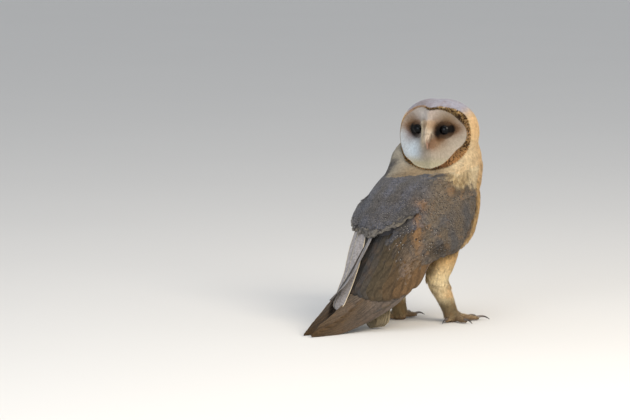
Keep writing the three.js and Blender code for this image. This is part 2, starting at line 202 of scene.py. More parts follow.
def disc_rim(turn, share=1.0):
    """The rim at an angle in degrees: how far right, and above the eyes, in millimetres."""
    power = 2 / DISC["squareness"]
    reach = through(DISC_REACH, turn)[:, 0] * share
    turn = np.radians(turn)
    up = np.sign(np.cos(turn)) * np.abs(np.cos(turn)) ** power
    side = -np.sign(np.sin(turn)) * np.abs(np.sin(turn)) ** power
    right = DISC["half_width"] * side * (1 + 0.08 * np.minimum(up, 0)) * reach
    notch = np.where(up > 0, DISC["notch"] * np.exp(-((right / 8) ** 2)), 0)
    return right, DISC["half_height"] * up * reach - DISC["drop"] - notch


# ---- wings ----------------------------------------------------------------------------------
# A folded wing is a bowed blade between an upper edge along the back and a lower one from the
# wrist to the tip. Rows: share of the length, then forward, right and up in millimetres.
UPPER_EDGE = [
    [0, 50, 34, 178], [0.14, 14, 34, 182], [0.3, -36, 20, 162], [0.45, -72, 7, 132],
    [0.6, -98, 2, 93], [0.75, -126, 1.5, 52], [0.88, -162, 2, 25], [1, -203, 3, 2.5],
]
LOWER_EDGE = [
    [0, 52, 42, 140], [0.14, 33, 52, 108], [0.3, 2, 55, 90], [0.45, -42, 56, 82],
    [0.6, -77, 46, 43], [0.75, -113, 29, 20], [0.88, -152, 15, 7], [1, -202, 7, 0],
]
# The left wing lies over the right: share of the length, its upper edge moved back and up.
OVERLAP = [
    [0, 0, 0], [0.3, 1, 0], [0.45, 5, 0], [0.6, 7, 2], [0.75, 8, 5], [0.88, 6, 8], [1, 0, 0],
]
BOW = [[0, 6], [0.14, 19], [0.3, 21], [0.45, 19], [0.6, 13], [0.75, 8], [0.88, 4], [1, 0.8]]


def wing_edges(side, along):
    """Places on the wing's upper and lower edges at shares of its length."""
    upper, lower = through(UPPER_EDGE, along).T, through(LOWER_EDGE, along).T
    moved = through(OVERLAP, along).T * (side < 0)
    return (
        at(upper[0] - moved[0], side * upper[1], upper[2] + moved[1]),
        at(lower[0], side * lower[1], lower[2]),
    )


def wing_point(side, along, across):
    """Points and outward normals of a wing's outer face: share of its length, share down it."""
    along, across = (np.atleast_1d(v).astype(float) for v in (along, across))
    upper, lower = wing_edges(side, along)
    near, far = wing_edges(side, np.maximum(along - 0.02, 0)), wing_edges(side, np.minimum(along + 0.02, 1))
    lengthways = far[0] + far[1] - near[0] - near[1]
    outward = unit(np.cross(lengthways, lower - upper)) * side
    bow = through(BOW, along) * MM
    arch = np.sin(math.pi * np.clip(across, 0, 1))[:, None] ** 0.9
    points = upper + (lower - upper) * across[:, None] + outward * bow * arch
    # the face turns with the bow
    slope = bow * 0.9 * math.pi * np.cos(math.pi * np.clip(across, 0.03, 0.97))[:, None]
    down = lower - upper
    return points, unit(outward * np.linalg.norm(down, axis=1, keepdims=True) - unit(down) * slope)


class WingMap:
    """Finds the share along and across a wing that is nearest to a point."""

    def __init__(self, side):
        self.grid = np.array([(a, c) for a in np.linspace(0, 1, 201) for c in np.linspace(0, 1, 41)])
        places = wing_point(side, self.grid[:, 0], self.grid[:, 1])[0]
        self.tree = KDTree(len(places))
        for i, place in enumerate(places):
            self.tree.insert(place, i)
        self.tree.balance()

    def find(self, points):
        return self.grid[[self.tree.find(p)[1] for p in points]]


WING_MAPS = {side: WingMap(sign) for side, sign in SIDES.items()}


# ---- skin -----------------------------------------------------------------------------------
COAT_DEPTH_MM = {"head": 2.4, "neck": 3.4, "trunk": 3.2, "wing": 2.2, "thigh": 2.8, "tarsus": 1.5}
COAT_DEPTH_MM["foot"] = 0.35
FACE_DEPTH_MM = 1.4  # the plumes of the disc are short
SKIN_VOXEL_MM = 1.6


def arrays_of(mesh):
    """A mesh's points and its faces as triangles."""
    points = np.empty(len(mesh.vertices) * 3)
    mesh.vertices.foreach_get("co", points)
    mesh.calc_loop_triangles()
    corners = np.empty(len(mesh.loop_triangles) * 3, int)
    mesh.loop_triangles.foreach_get("vertices", corners)
    return points.reshape(-1, 3), corners.reshape(-1, 3)


def mesh_of(name, points, faces):
    """A mesh from an array of points and one of triangles or quads, smoothly shaded."""
    mesh = bpy.data.meshes.new(name)
    points, faces = np.asarray(points, np.float32), np.asarray(faces, np.int32)
    mesh.vertices.add(len(points))
    mesh.vertices.foreach_set("co", points.ravel())
    mesh.loops.add(faces.size)
    mesh.loops.foreach_set("vertex_index", faces.ravel())
    mesh.polygons.add(len(faces))
    mesh.polygons.foreach_set("loop_start", np.arange(0, faces.size, faces.shape[1], dtype=np.int32))
    mesh.polygons.foreach_set("use_smooth", np.ones(len(faces), bool))
    mesh.update(calc_edges=True)
    return mesh


def place(name, mesh, material, slot, *replaced):
    """A piece of the owl: an object that rides on the body, with its material."""
    piece = bpy.data.objects.new(name, mesh)
    bpy.context.scene.collection.objects.link(piece)
    mesh.materials.append(material)
    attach(piece, "root")
    if replaced:
        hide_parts(*replaced)


class Solids:
    """The flesh nodes' surfaces together, to tell which node a place on the owl belongs to."""

    def __init__(self):
        points, faces, owner, start = [], [], [], 0
        for number, node in enumerate(FLESH):
            own_points, own_faces = arrays_of(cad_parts[node].data)
            points.append(own_points)
            faces.append(own_faces + start)
            owner.append(np.full(len(own_faces), number))
            start += len(own_points)
        self.points, self.faces = np.concatenate(points), np.concatenate(faces)
        self.owner = np.concatenate(owner)
        self.tree = BVHTree.FromPolygons(self.points.tolist(), self.faces.tolist())

    def nodes_at(self, points):
        """The number in FLESH of the node nearest to each point."""
        return self.owner[[self.tree.find_nearest(Vector(p))[2] for p in points]]


def neighbour_mean(values, edges, rounds):
    """Values at mesh points, each drawn half-way to the mean of its neighbours several times."""
    values = np.array(values, float).reshape(len(values), -1)
    count = np.bincount(edges.ravel(), minlength=len(values))[:, None]
    for _ in range(rounds):
        total = np.zeros_like(values)
        for column in range(values.shape[1]):
            total[:, column] = np.bincount(edges[:, 0], values[edges[:, 1], column], len(values))
            total[:, column] += np.bincount(edges[:, 1], values[edges[:, 0], column], len(values))
        values += 0.5 * (total / np.maximum(count, 1) - values)
    return values


def normals_of(points, faces):
    """Unit normals at the points of a triangle mesh."""
    a, b, c = (points[faces[:, k]] for k in range(3))
    across = np.cross(b - a, c - a)
    total = np.zeros_like(points)
    for k in range(3):
        for axis in range(3):
            total[:, axis] += np.bincount(faces[:, k], across[:, axis], len(points))
    return unit(total)


def grown_skin(solids):
    """Points, triangles and owning nodes of one skin inside all the flesh."""
    whole = bpy.data.objects.new("whole", mesh_of("whole", solids.points, solids.faces))
    bpy.context.scene.collection.objects.link(whole)
    remesh = whole.modifiers.new("remesh", "REMESH")
    remesh.mode = "VOXEL"
    remesh.voxel_size = SKIN_VOXEL_MM * MM
    result = bpy.data.meshes.new_from_object(whole.evaluated_get(bpy.context.evaluated_depsgraph_get()))
    points, faces = arrays_of(result)
    edges = np.empty(len(result.edges) * 2, int)
    result.edges.foreach_get("vertices", edges)
    edges = edges.reshape(-1, 2)
    bpy.data.objects.remove(whole)
    owner = solids.nodes_at(points)
    feet = np.isin(owner, [FLESH.index(f"foot_{side}") for side in SIDES])
    kept = points[feet].copy()
    points = neighbour_mean(points, edges, 4)
    points[feet] = kept * 0.6 + points[feet] * 0.4
    depth = np.array([COAT_DEPTH_MM[node.split("_")[0]] for node in FLESH])[owner] * MM
    ahead, right, above = head_mm(points)
    face = (owner == FLESH.index("head")) * step(1.05, 0.95, disc_share(right, above)) * step(4, 12, ahead)
    depth += (FACE_DEPTH_MM * MM - depth) * face
    depth = neighbour_mean(depth, edges, 12)
    points = points - normals_of(points, faces) * depth
    points = neighbour_mean(points, edges, 2)
    points[:, 2] = np.maximum(points[:, 2], FLOOR_GAP)
    return points, faces, owner


class Skin:
    """The skin's surface, for laying a coat over it."""

    def __init__(self, points, faces, owner):
        self.points, self.faces, self.owner = points, faces, owner
        self.normals = normals_of(points, faces)
        self.tree = BVHTree.FromPolygons(points.tolist(), faces.tolist())
        a, b, c = (points[faces[:, k]] for k in range(3))
        self.area = np.linalg.norm(np.cross(b - a, c - a), axis=1) / 2
        self.face_owner = owner[faces[:, 0]]

    def scattered(self, wanted, spacing_mm):
        """Evenly scattered places on the skin: wanted(points, owners) tells which may stay.

        Gives points and normals, no two points nearer to each other than the spacing."""
        gap = spacing_mm * MM
        middles = self.points[self.faces].mean(axis=1)
        usable = np.nonzero(wanted(middles, self.face_owner))[0]
        share = np.cumsum(self.area[usable])
        count = int(share[-1] / gap ** 2 * 5)
        chosen = usable[np.searchsorted(share, RANDOM.uniform(0, share[-1], count))]
        u, v = RANDOM.uniform(size=(2, count, 1))
        flip = (u + v) > 1
        u, v = np.where(flip, 1 - u, u), np.where(flip, 1 - v, v)
        a, b, c = (self.points[self.faces[chosen, k]] for k in range(3))
        spots = a + (b - a) * u + (c - a) * v
        cells = np.floor(spots / gap).astype(int).tolist()
        taken, kept = {}, []
        around = [(i, j, k) for i in (-1, 0, 1) for j in (-1, 0, 1) for k in (-1, 0, 1)]
        listed = spots.tolist()
        for number, (cell, spot) in enumerate(zip(cells, listed)):
            clear = True
            for i, j, k in around:
                other = taken.get((cell[0] + i, cell[1] + j, cell[2] + k))
                if other is not None and math.dist(other, spot) < gap:
                    clear = False
                    break
            if clear:
                taken[tuple(cell)] = spot
                kept.append(number)
        faces = self.faces[chosen[kept]]
        return spots[kept], unit(self.normals[faces].sum(axis=1))

    def nearest(self, points):
        """The skin's nearest points and its normals there."""
        found = [self.tree.find_nearest(p) for p in points.tolist()]
        places = np.array([f[0] for f in found])
        return places, np.array([f[1] for f in found])


# ---- feathers as mesh -----------------------------------------------------------------------
# A pattern is one feather laid out flat: points (across -1 to 1, along 0 to 1, height in
# widths) and quads. It is then bent along the skin for each place.
def vane_pattern(rows=5, waist=0.35, fringe=15):
    """A whole vane, widest past its middle, rounded and a little frayed at its tip."""
    columns = 3
    along = np.linspace(0, 1, rows) ** 0.85 * 0.96
    wide = waist + (1 - waist) * np.sin(math.pi / 2 * np.minimum(along / 0.6, 1))
    wide *= np.maximum(1 - np.maximum((along - 0.45) / 0.55, 0) ** 2.2, 0) ** 0.5
    across = np.linspace(-1, 1, columns)
    points = [(x * w, y, -0.16 * x * x) for y, w in zip(along, wide) for x in across]
    quads = [
        (r * columns + c, r * columns + c + 1, (r + 1) * columns + c + 1, (r + 1) * columns + c)
        for r in range(rows - 1) for c in range(columns - 1)
    ]
    for i in range(fringe):
        lean = 1.8 * i / (fringe - 1) - 0.9
        rim_y = 0.45 + 0.55 * (1 - abs(lean) ** 2.2) ** 0.5
        first, half = len(points), 1.0 / fringe
        droop = -0.14 * lean * lean - 0.03
        points += [(lean * 0.85 + end * half, rim_y - 0.2, 0.02) for end in (-1, 1)]
        points += [(lean + end * half * 0.35, rim_y + 0.02, droop) for end in (1, -1)]
        quads.append((first, first + 1, first + 2, first + 3))
    return np.array(points), np.array(quads)


def tuft_pattern():
    """A soft feather: fine strands that fan out from its root, the middle ones longest."""
    strands, rows, narrow = 9, 3, 0.35
    points, quads = [], []
    for i in range(strands):
        lean = 2 * i / (strands - 1) - 1
        first = len(points)
        for row in range(rows):
            share = row / (rows - 1)
            x = lean * (narrow + (1 - narrow) * share)
            half = 1.25 / strands * (1 - 0.82 * share ** 2)
            y, z = share * (1 - 0.24 * lean * lean), 0.07 * (i % 2) - 0.16 * lean * lean
            points += [(x - half, y, z), (x + half, y, z)]
        quads += blade_quads(first, rows)
    return np.array(points), np.array(quads)


def blade_quads(first, rows):
    """The quads of a blade that is two points wide, from its first point on."""
    return [tuple(first + 2 * r + k for k in (0, 1, 3, 2)) for r in range(rows - 1)]


def strand_pattern(rows):
    """A bristle or a wisp of down: a narrow blade drawn out to a point."""
    along = np.linspace(0, 1, rows)
    points = [(x * (1 - 0.85 * y ** 1.5), y, 0.0) for y in along for x in (-1, 1)]
    return np.array(points), np.array(blade_quads(0, rows))


def overhanging(skin, roots, normals, lie, length_mm, over_mm=5.0):
    """Feathers that would bend round an edge of the skin are cut short past it and held straight.

    Gives the lengths, and how stiff each feather is."""
    heading = unit(lie - normals * dot(lie, normals)[:, None])
    edge = np.full(len(roots), np.inf)
    for share in np.linspace(1, 0.15, 7):
        reach = share * length_mm
        turned_away = dot(skin.nearest(roots + heading * (reach * MM)[:, None])[1], normals) < 0.35
        edge = np.where(turned_away, reach, edge)
    return np.minimum(length_mm, np.maximum(edge + over_mm, 7)), np.where(np.isfinite(edge), 1.0, 0.3)


class Coat:
    """Feathers of one piece, gathered until it is made."""

    def __init__(self, skin, chart):
        self.skin, self.chart = skin, chart
        self.points, self.quads, self.tints, self.vanes, self.patches = [], [], [], [], []
        self.start = 0

    def lay(self, roots, normals, lie, length_mm, width_mm, lift_mm, tint, tip_tint, pattern,
            stand=0.0, steps=4, sink_mm=0.3, stiff=0.0, **looks):
        """Lays one feather of the pattern at each root, along the lie and close to the skin.

        lift_mm is how far the tips stand off the skin, stand how much more upright they are,
        and stiff how little they bend round an edge, 0 to 1."""
        if len(roots) == 0:
            return
        full = np.ones(len(roots))
        length, lift, stand = np.asarray(length_mm) * full * MM, np.asarray(lift_mm) * full * MM, stand * full
        heading = unit(lie - normals * dot(lie, normals)[:, None])
        spot, normal = roots - normals * sink_mm * MM, normals
        lane, ups = [spot], [normal]
        stiff = (stiff * full)[:, None]
        for number in range(1, steps + 1):
            on_skin, face = self.skin.nearest(spot + heading * (length / steps)[:, None])
            share = number / steps
            face = unit(face * (1 - 0.8 * stiff) + normal)
            rise = lift * (1 - (1 - share) ** 2.5) + stand * length * share - sink_mm * MM * (1 - share)
            before = heading
            heading = unit(on_skin + face * rise[:, None] - spot)
            if number > 1:
                heading = unit(heading * (1 - stiff) + before * stiff)
            spot = spot + heading * (length / steps)[:, None]
            heading = unit(heading - face * dot(heading, face)[:, None])
            normal = face
            lane.append(spot)
            ups.append(face)
        lane, ups = np.stack(lane, axis=1), np.stack(ups, axis=1)
        self.bend(lane, ups, width_mm, tint, tip_tint, pattern, **looks)

    def bend(self, lane, ups, width_mm, tint, tip_tint, pattern, ragged=0.0, marks=0.0):
        """Bends one feather of the pattern along each lane of points.

        ragged is how uneven the outline is, and marks the share of feathers with a pearl."""
        count, steps = len(lane), lane.shape[1] - 1
        width = np.asarray(width_mm) * np.ones(count) * MM
        marks = (RANDOM.uniform(size=count) < marks) * RANDOM.uniform(0.4, 1, count)
        sides = unit(np.cross(ups, np.gradient(lane, axis=1)))
        flat, quads = pattern
        shape = np.repeat(flat[None], count, axis=0)
        if ragged:
            outer = np.abs(flat[:, 0])[None, :]
            shape[..., 1] += RANDOM.normal(0, ragged * 0.12, shape.shape[:2]) * outer
            shape[..., 0] *= 1 + RANDOM.normal(0, ragged * 0.25, shape.shape[:2])
        along = np.clip(shape[..., 1], 0, 1.2) * steps
        before = np.minimum(along.astype(int), steps - 1)
        part = (along - before)[..., None]
        row = np.arange(count)[:, None]
        curves = (lane, ups, sides)
        middle, over, out = (v[row, before] * (1 - part) + v[row, before + 1] * part for v in curves)
        reach = width[:, None, None] / 2
        points = middle + out * shape[..., :1] * reach + over * shape[..., 2:] * reach
        points[..., 2] = np.maximum(points[..., 2], FLOOR_GAP)
        share = np.clip(flat[:, 1], 0, 1) ** 1.5
        tint, tip_tint = (np.broadcast_to(v, (count, 3))[:, None, :] for v in (tint, tip_tint))
        colour = tint * (1 - share[None, :, None]) + tip_tint * share[None, :, None]
        self.points.append(points.reshape(-1, 3))
        offsets = self.start + np.arange(count)[:, None, None] * len(flat)
        self.quads.append((quads[None] + offsets).reshape(-1, 4))
        self.start += points.shape[0] * points.shape[1]
        marks = np.broadcast_to(marks[:, None, None], colour.shape[:2] + (1,))
        self.tints.append(np.concatenate([colour, marks], axis=2).reshape(-1, 4))
        vane = np.stack([flat[:, 0] / 2 + 0.5, flat[:, 1]], axis=1)
        self.vanes.append(np.broadcast_to(vane, (count,) + vane.shape).reshape(-1, 2))
        patch = self.chart(lane[:, 0])[:, None, :] + (vane - 0.5) * PATCH
        self.patches.append(np.clip(patch, 0, 1).reshape(-1, 2))

    def make(self, name, material, slot):
        """The piece, with its colours, each feather's own layout and its patch of the unwrap."""
        quads = np.concatenate(self.quads)
        mesh = mesh_of(name, np.concatenate(self.points), quads)
        dress(mesh, quads, *(np.concatenate(v) for v in (self.tints, self.patches, self.vanes)))
        place(name, mesh, material, slot)


def dress(mesh, faces, tints, patches, vanes):
    """Gives a mesh its tint at each point and its two maps: OFBake and the feather's layout."""
    tint = mesh.color_attributes.new("tint", "FLOAT_COLOR", "POINT")
    tint.data.foreach_set("color", np.asarray(tints, np.float32).ravel())
    for name, values in (("OFBake", patches), ("layout", vanes)):
        layer = mesh.uv_layers.new(name=name)
        layer.data.foreach_set("uv", np.asarray(values, np.float32)[faces.ravel()].ravel())
    mesh.uv_layers.active = mesh.uv_layers["OFBake"]


# ---- materials ------------------------------------------------------------------------------
class Graph:
    """The nodes of one material, written as expressions."""

    def __init__(self, name):
        self.material = bpy.data.materials.new(name)
        self.material.use_nodes = True
        self.tree = self.material.node_tree
        self.tree.nodes.clear()
        self.output = self.tree.nodes.new("ShaderNodeOutputMaterial")
        self.shader = self.tree.nodes.new("ShaderNodeBsdfPrincipled")
        self.tree.links.new(self.shader.outputs[0], self.output.inputs["Surface"])

    def node(self, kind, inputs=None, output=0, **settings):
        """One of a new node's outputs, given its inputs as values or links, and its settings."""
        node = self.tree.nodes.new(f"ShaderNode{kind}")
        for key, value in settings.items():
            setattr(node, key, value)
        for key, value in (inputs or {}).items():
            if isinstance(value, bpy.types.NodeSocket):
                self.tree.links.new(value, node.inputs[key])
            else:
                node.inputs[key].default_value = value
        return node.outputs[output]

    def math(self, operation, a, b=0.0):
        return self.node("Math", {0: a, 1: b}, operation=operation)

    def times(self, a, b):
        return self.math("MULTIPLY", a, b)

    def minus(self, a, b):
        return self.math("SUBTRACT", a, b)

    def mix(self, share, a, b, blend="MIX"):
        colours = [(*v, 1.0) if isinstance(v, (tuple, np.ndarray)) else v for v in (a, b)]
        inputs = {0: share, 6: colours[0], 7: colours[1]}
        return self.node("Mix", inputs, output=2, data_type="RGBA", blend_type=blend)

    def spread(self, value, low, high, to_low=0.0, to_high=1.0):
        """A value from low to high turned smoothly into one from to_low to to_high."""
        inputs = {"Value": value, "From Min": low, "From Max": high, "To Min": to_low, "To Max": to_high}
        return self.node("MapRange", inputs, interpolation_type="SMOOTHSTEP")

    def noise(self, scale, detail=2.0):
        """Mottling over the owl's own space."""
        place_here = self.node("TexCoord", output=3)
        return self.node("TexNoise", {"Vector": place_here, "Scale": scale, "Detail": detail})

    def tint(self, output=0):
        """The colour that the mesh carries, or with output 3 its share of pearl."""
        return self.node("Attribute", output=output, attribute_name="tint")

    def layout(self):
        """Across and along a feather."""
        uv = self.node("UVMap", uv_map="layout")
        return self.node("SeparateXYZ", {0: uv}), self.node("SeparateXYZ", {0: uv}, output=1)

    def scaled(self, colour, factor):
        """A colour made brighter or darker by a factor."""
        grey = self.node("CombineColor", {0: factor, 1: factor, 2: factor})
        return self.mix(1.0, colour, grey, "MULTIPLY")

    def spot(self, x, y, middle_x, middle_y, radius_x, radius_y):
        """1 inside an oval of the given middle and radii, 0 outside it."""
        across = self.math("DIVIDE", self.minus(x, middle_x), radius_x)
        along = self.math("DIVIDE", self.minus(y, middle_y), radius_y)
        far = self.math("ADD", self.times(across, across), self.times(along, along))
        return self.spread(far, 0.8, 1.3, 1.0, 0.0)

    def bump(self, height, strength, distance_mm):
        inputs = {"Strength": strength, "Distance": distance_mm * MM, "Height": height}
        self.set(Normal=self.node("Bump", inputs))

    def set(self, **sockets):
        """Values or links for the shader's sockets, with _ for the spaces in their names."""
        for key, value in sockets.items():
            socket = self.shader.inputs[key.replace("_", " ")]
            if isinstance(value, bpy.types.NodeSocket):
                self.tree.links.new(value, socket)
            else:
                socket.default_value = value
        return self.material


def plumage(name, barbs, barb_depth, mottle, shaft=0.0, pearls=False, bars=0.0, edge=None,
            edge_share=0.5, warm=0.0, sheen=0.15):
    """Feathers: their own tint, barbs, mottling, and shaft, pearls, bars, edges or warm patches."""
    g = Graph(name)
    tint, marks = g.tint(), g.tint(output=3)
    across, along = g.layout()
    out = g.math("ABSOLUTE", g.minus(across, 0.5))
    coarse, fine = g.noise(380.0, 3.0), g.noise(1900.0, 2.0)
    colour = g.scaled(tint, g.spread(coarse, 0.25, 0.75, 1 - mottle, 1 + mottle))
    colour = g.scaled(colour, g.spread(fine, 0.25, 0.75, 1 - mottle * 0.7, 1 + mottle * 0.7))
    slant = g.minus(along, g.times(out, 0.55))
    barb = g.math("SINE", g.times(slant, barbs * 2 * math.pi))
    colour = g.scaled(colour, g.spread(barb, -1.0, 1.0, 1 - barb_depth, 1 + barb_depth * 0.5))
    if warm:
        patch = g.spread(g.noise(70.0, 3.0), 0.5, 0.72)
        colour = g.mix(g.times(patch, warm), colour, ORANGE_BUFF * 0.8)
    if bars:
        wobble = g.times(g.noise(160.0), 0.12)
        wave = g.math("SINE", g.times(g.math("ADD", slant, wobble), bars * 2 * math.pi))
        band = g.times(g.spread(wave, 0.15, 0.9), g.spread(along, 0.12, 0.3))
        colour = g.scaled(colour, g.minus(1.0, g.times(band, 0.3)))
    if edge is not None:
        rim = g.spread(out, 0.42, 0.5)
        colour = g.mix(g.times(rim, edge_share), colour, edge)
    if shaft:
        line = g.spread(out, 0.012, 0.03, shaft, 0.0)
        colour = g.mix(line, colour, DUSKY)
    if pearls:
        dark = g.spot(out, along, 0.0, 0.81, 0.13, 0.11)
        white = g.spot(out, along, 0.0, 0.878, 0.045, 0.028)
        colour = g.mix(g.times(dark, marks), colour, PEARL_DARK)
        colour = g.mix(g.times(white, marks), colour, PEARL)
    g.bump(g.math("ADD", barb, g.times(fine, 2.0)), 0.35, 0.12)
    return g.set(Base_Color=colour, Roughness=0.8, Specular_IOR_Level=0.12, Sheen_Weight=sheen,
                 Sheen_Roughness=0.5)


def grained(name, grain, bump, rough, specular, tones=None, spread=None):
    """Skin or leather with a fine grain: scale and detail of the grain, strength and mm of bump.

    It runs between two tones, or else takes the mesh's own tint and shades it by the grain."""
    g = Graph(name)
    grit = g.noise(*grain)
    g.bump(grit, *bump)
    colour = g.mix(grit, *tones) if tones else g.scaled(g.tint(), g.spread(grit, *spread))
    return g.set(Base_Color=colour, Roughness=rough, Specular_IOR_Level=specular)


def horn(name, root, tip, gloss=0.32):
    """Bill or claw: tinted along its length by its layout, with fine lines of growth."""
    g = Graph(name)
    across, along = g.layout()
    drawn_out = g.node("CombineXYZ", {0: g.times(across, 14.0), 1: along})
    fibre = g.node("TexNoise", {"Vector": drawn_out, "Scale": 6.0, "Detail": 4.0})
    colour = g.mix(g.spread(along, 0.05, 0.85), root, tip)
    g.bump(fibre, 0.25, 0.15)
    return g.set(Base_Color=g.scaled(colour, g.spread(fibre, 0.3, 0.7, 0.8, 1.15)), Roughness=gloss,
                 Specular_IOR_Level=0.5, Coat_Weight=0.15)


def eye_glass():
    """The eye: black pupil in a very dark brown iris, under a wet clear front."""
    g = Graph("eye")
    along = g.layout()[1]
    rays = g.noise(2600.0, 2.0)
    iris = g.mix(rays, srgb(14, 9, 7), srgb(34, 20, 13))
    pupil = g.spread(along, 0.30, 0.36, 1.0, 0.0)
    ring = g.spread(along, 0.50, 0.58)
    colour = g.mix(ring, g.mix(pupil, iris, srgb(3, 3, 4)), srgb(12, 8, 7))
    return g.set(Base_Color=colour, Roughness=0.12, Specular_IOR_Level=0.15)


# ---- markings -------------------------------------------------------------------------------
SLATE, SLATE_BLUE, GREY_BROWN = srgb(80, 77, 76), srgb(87, 88, 96), srgb(96, 85, 72)
ORANGE_BUFF, CREAM = srgb(144, 108, 70), srgb(222, 204, 168)
# The third is the ruff with painted cool shade, for its side turned from the light.
SILVER, RUFF, RUFF_IN_COOL_SHADE = srgb(162, 162, 176), srgb(172, 148, 108), srgb(132, 126, 114)
# The first is a darker ruff tone, both for its own mottling and as painted shadow under the disc and head;
# the second is painted shadow on the coverts.
RUFF_MOTTLE_AND_SHADOW, SHADOW_BROWN = srgb(118, 100, 76), srgb(66, 57, 47)
# The second is the disc's white with painted cool light, for its side turned from the warm lamp.
WARM_FACE, FACE_PAINTED_COOL_LIGHT, TAUPE_FACE = srgb(180, 166, 148), srgb(192, 196, 198), srgb(168, 158, 146)
PRIMARY_TIP, TAIL_BROWN = srgb(74, 55, 32), srgb(80, 65, 38)
# The first is a painted pale-blue skylight for the lower cheek; the second is the brow's brown, partly
# painted shadow under the rim.
FACE_PAINTED_SKYLIGHT, BROW = srgb(214, 224, 230), srgb(132, 108, 76)
CREAM_FACE, BRIDGE, RUST = srgb(184, 174, 146), srgb(212, 196, 174), srgb(122, 80, 50)
NAPE, BREAST = srgb(218, 184, 136), srgb(194, 156, 98)
HAZE, SMUDGE = srgb(112, 70, 30), srgb(18, 11, 7)
# The third is painted shadow on the thigh.
TOE, SHANK, THIGH_PAINTED_SHADOW = srgb(122, 100, 74), srgb(236, 216, 172), srgb(92, 68, 46)
WARM_BRIDGE, FAR_GREY = srgb(178, 152, 124), srgb(134, 130, 130)
# The third is painted shadow in the hollow where the wing's edge meets the thigh.
THIGH, ANKLE, HOLLOW_PAINTED_SHADOW = srgb(212, 174, 118), srgb(132, 114, 84), srgb(40, 31, 20)

# The second is painted light for the ridge's side turned from the lamp.
FOREHEAD, BROW_PAINTED_LIGHT, CROWN_SHADE = srgb(176, 162, 152), srgb(226, 218, 210), srgb(132, 118, 110)
LAVENDER, DUSKY, GOLD_BAND = srgb(146, 132, 130), srgb(150, 132, 108), srgb(214, 172, 118)
RIM_GOLD, RIM_RUST, RIM_PINK = srgb(186, 152, 100), srgb(186, 128, 80), srgb(186, 164, 146)
RIM_BROWN, PEARL_DARK, PEARL = srgb(60, 38, 22), srgb(30, 27, 28), srgb(180, 174, 166)

# Orange-buff patches of the mantle: forward and up in millimetres, radii, share.
ORANGE_PATCHES = [[(-49, 148), (7, 6), 1.0], [(-7, 165), (6, 5), 0.8], [(-54, 133), (4, 9), 0.9]]

# Orange-buff patches of the coverts: millimetres along the wing and down it, radii, tilt, share.
BUFF_PATCHES = [
    [(117, 46), (21, 4.5), 56, 0.8], [(144, 64), (17, 14), 0, 0.35], [(48, 9), (8, 5), 0, 0.5],
    [(33, 60), (6, 5), 20, 0.4],
]


def face_colour(points):
    """The disc: pale, taupe above, cream below, brown smudges by the eyes, a pinkish bridge; painted light
    and shadow.
    """
    _, right, above = head_mm(points)
    out = np.abs(right)
    left = right < 0

    def spot(*place_and_size, base=right):
        return blot(base, above, *place_and_size)

    brow = spot((-21, 14), (13, 8)) + 0.9 * spot((27, 12), (9, 7))
    bridge = step(15, 7, out) * step(16, 6, above) * step(-26, -16, above)
    # the cream on the bridge's right part is a painted highlight on that slope of the ridge
    bridge_tone = painted(
        BRIDGE, (WARM_BRIDGE, step(-3, 6, above)), (CREAM * 0.95, 0.6 * step(3, 9, right)))
    rust = spot((-3, -17), (7, 7)) + 0.7 * spot((-9, -14), (5, 6))
    # the smudges begin where the ridge ends, further out on the side turned from the light
    ridge = np.where(right > 0, 12.5, 4.5)
    haze = 1.1 * spot((26, 1), (12, 7), 8, base=out) + 0.9 * spot((17, 2), (13, 11), base=out)
    haze += 0.8 * spot((12, -8), (5, 9), 30, base=out) * left
    near, far = spot((-16, 0.5), (10.5, 8)), spot((20.5, -2), (9, 8))
    smudge = 0.8 * spot((24, 1), (7, 4.5), 8, base=out) + 1.3 * np.where(left, near, far)
    smudge += 0.6 * spot((9.5, -8), (3.5, 7), 30, base=out) * left
    return painted(
        WARM_FACE,
        # painted cool light on the side turned from the warm lamp, and a painted pale-blue skylight on its
        # lower cheek
        (FACE_PAINTED_COOL_LIGHT, step(4, 22, right) * step(6, -8, above)),
        (FACE_PAINTED_SKYLIGHT, 0.8 * spot((24, -25), (9, 10))),
        (TAUPE_FACE, step(0, 18, above)),
        (CREAM_FACE, step(-30, -42, above)),
        (FOREHEAD, 0.8 * step(-18, -2, right) * step(6, 14, above)),
        # painted light on the forehead beside the ridge, on its side turned from the lamp
        (BROW_PAINTED_LIGHT, 0.75 * step(-1, 3, right) * spot((9, 17), (12, 13))),
        # the brow's own brown, and painted shadow under the rim
        (BROW, 0.7 * np.clip(brow, 0, 1)),
        (bridge_tone, bridge),
        (RUST, np.clip(rust * 1.1, 0, 0.9)),
        (LAVENDER, 0.7 * spot((29, -9), (8, 7))),
        (DUSKY, 0.5 * spot((-12, -18), (9, 9))),
        (HAZE, np.clip(haze, 0, 0.8) * step(ridge - 2.5, ridge + 2.5, out)),
        (SMUDGE, np.clip(smudge * 1.15 - 0.1, 0, 1) * step(ridge - 2, ridge + 2, out)),
    )


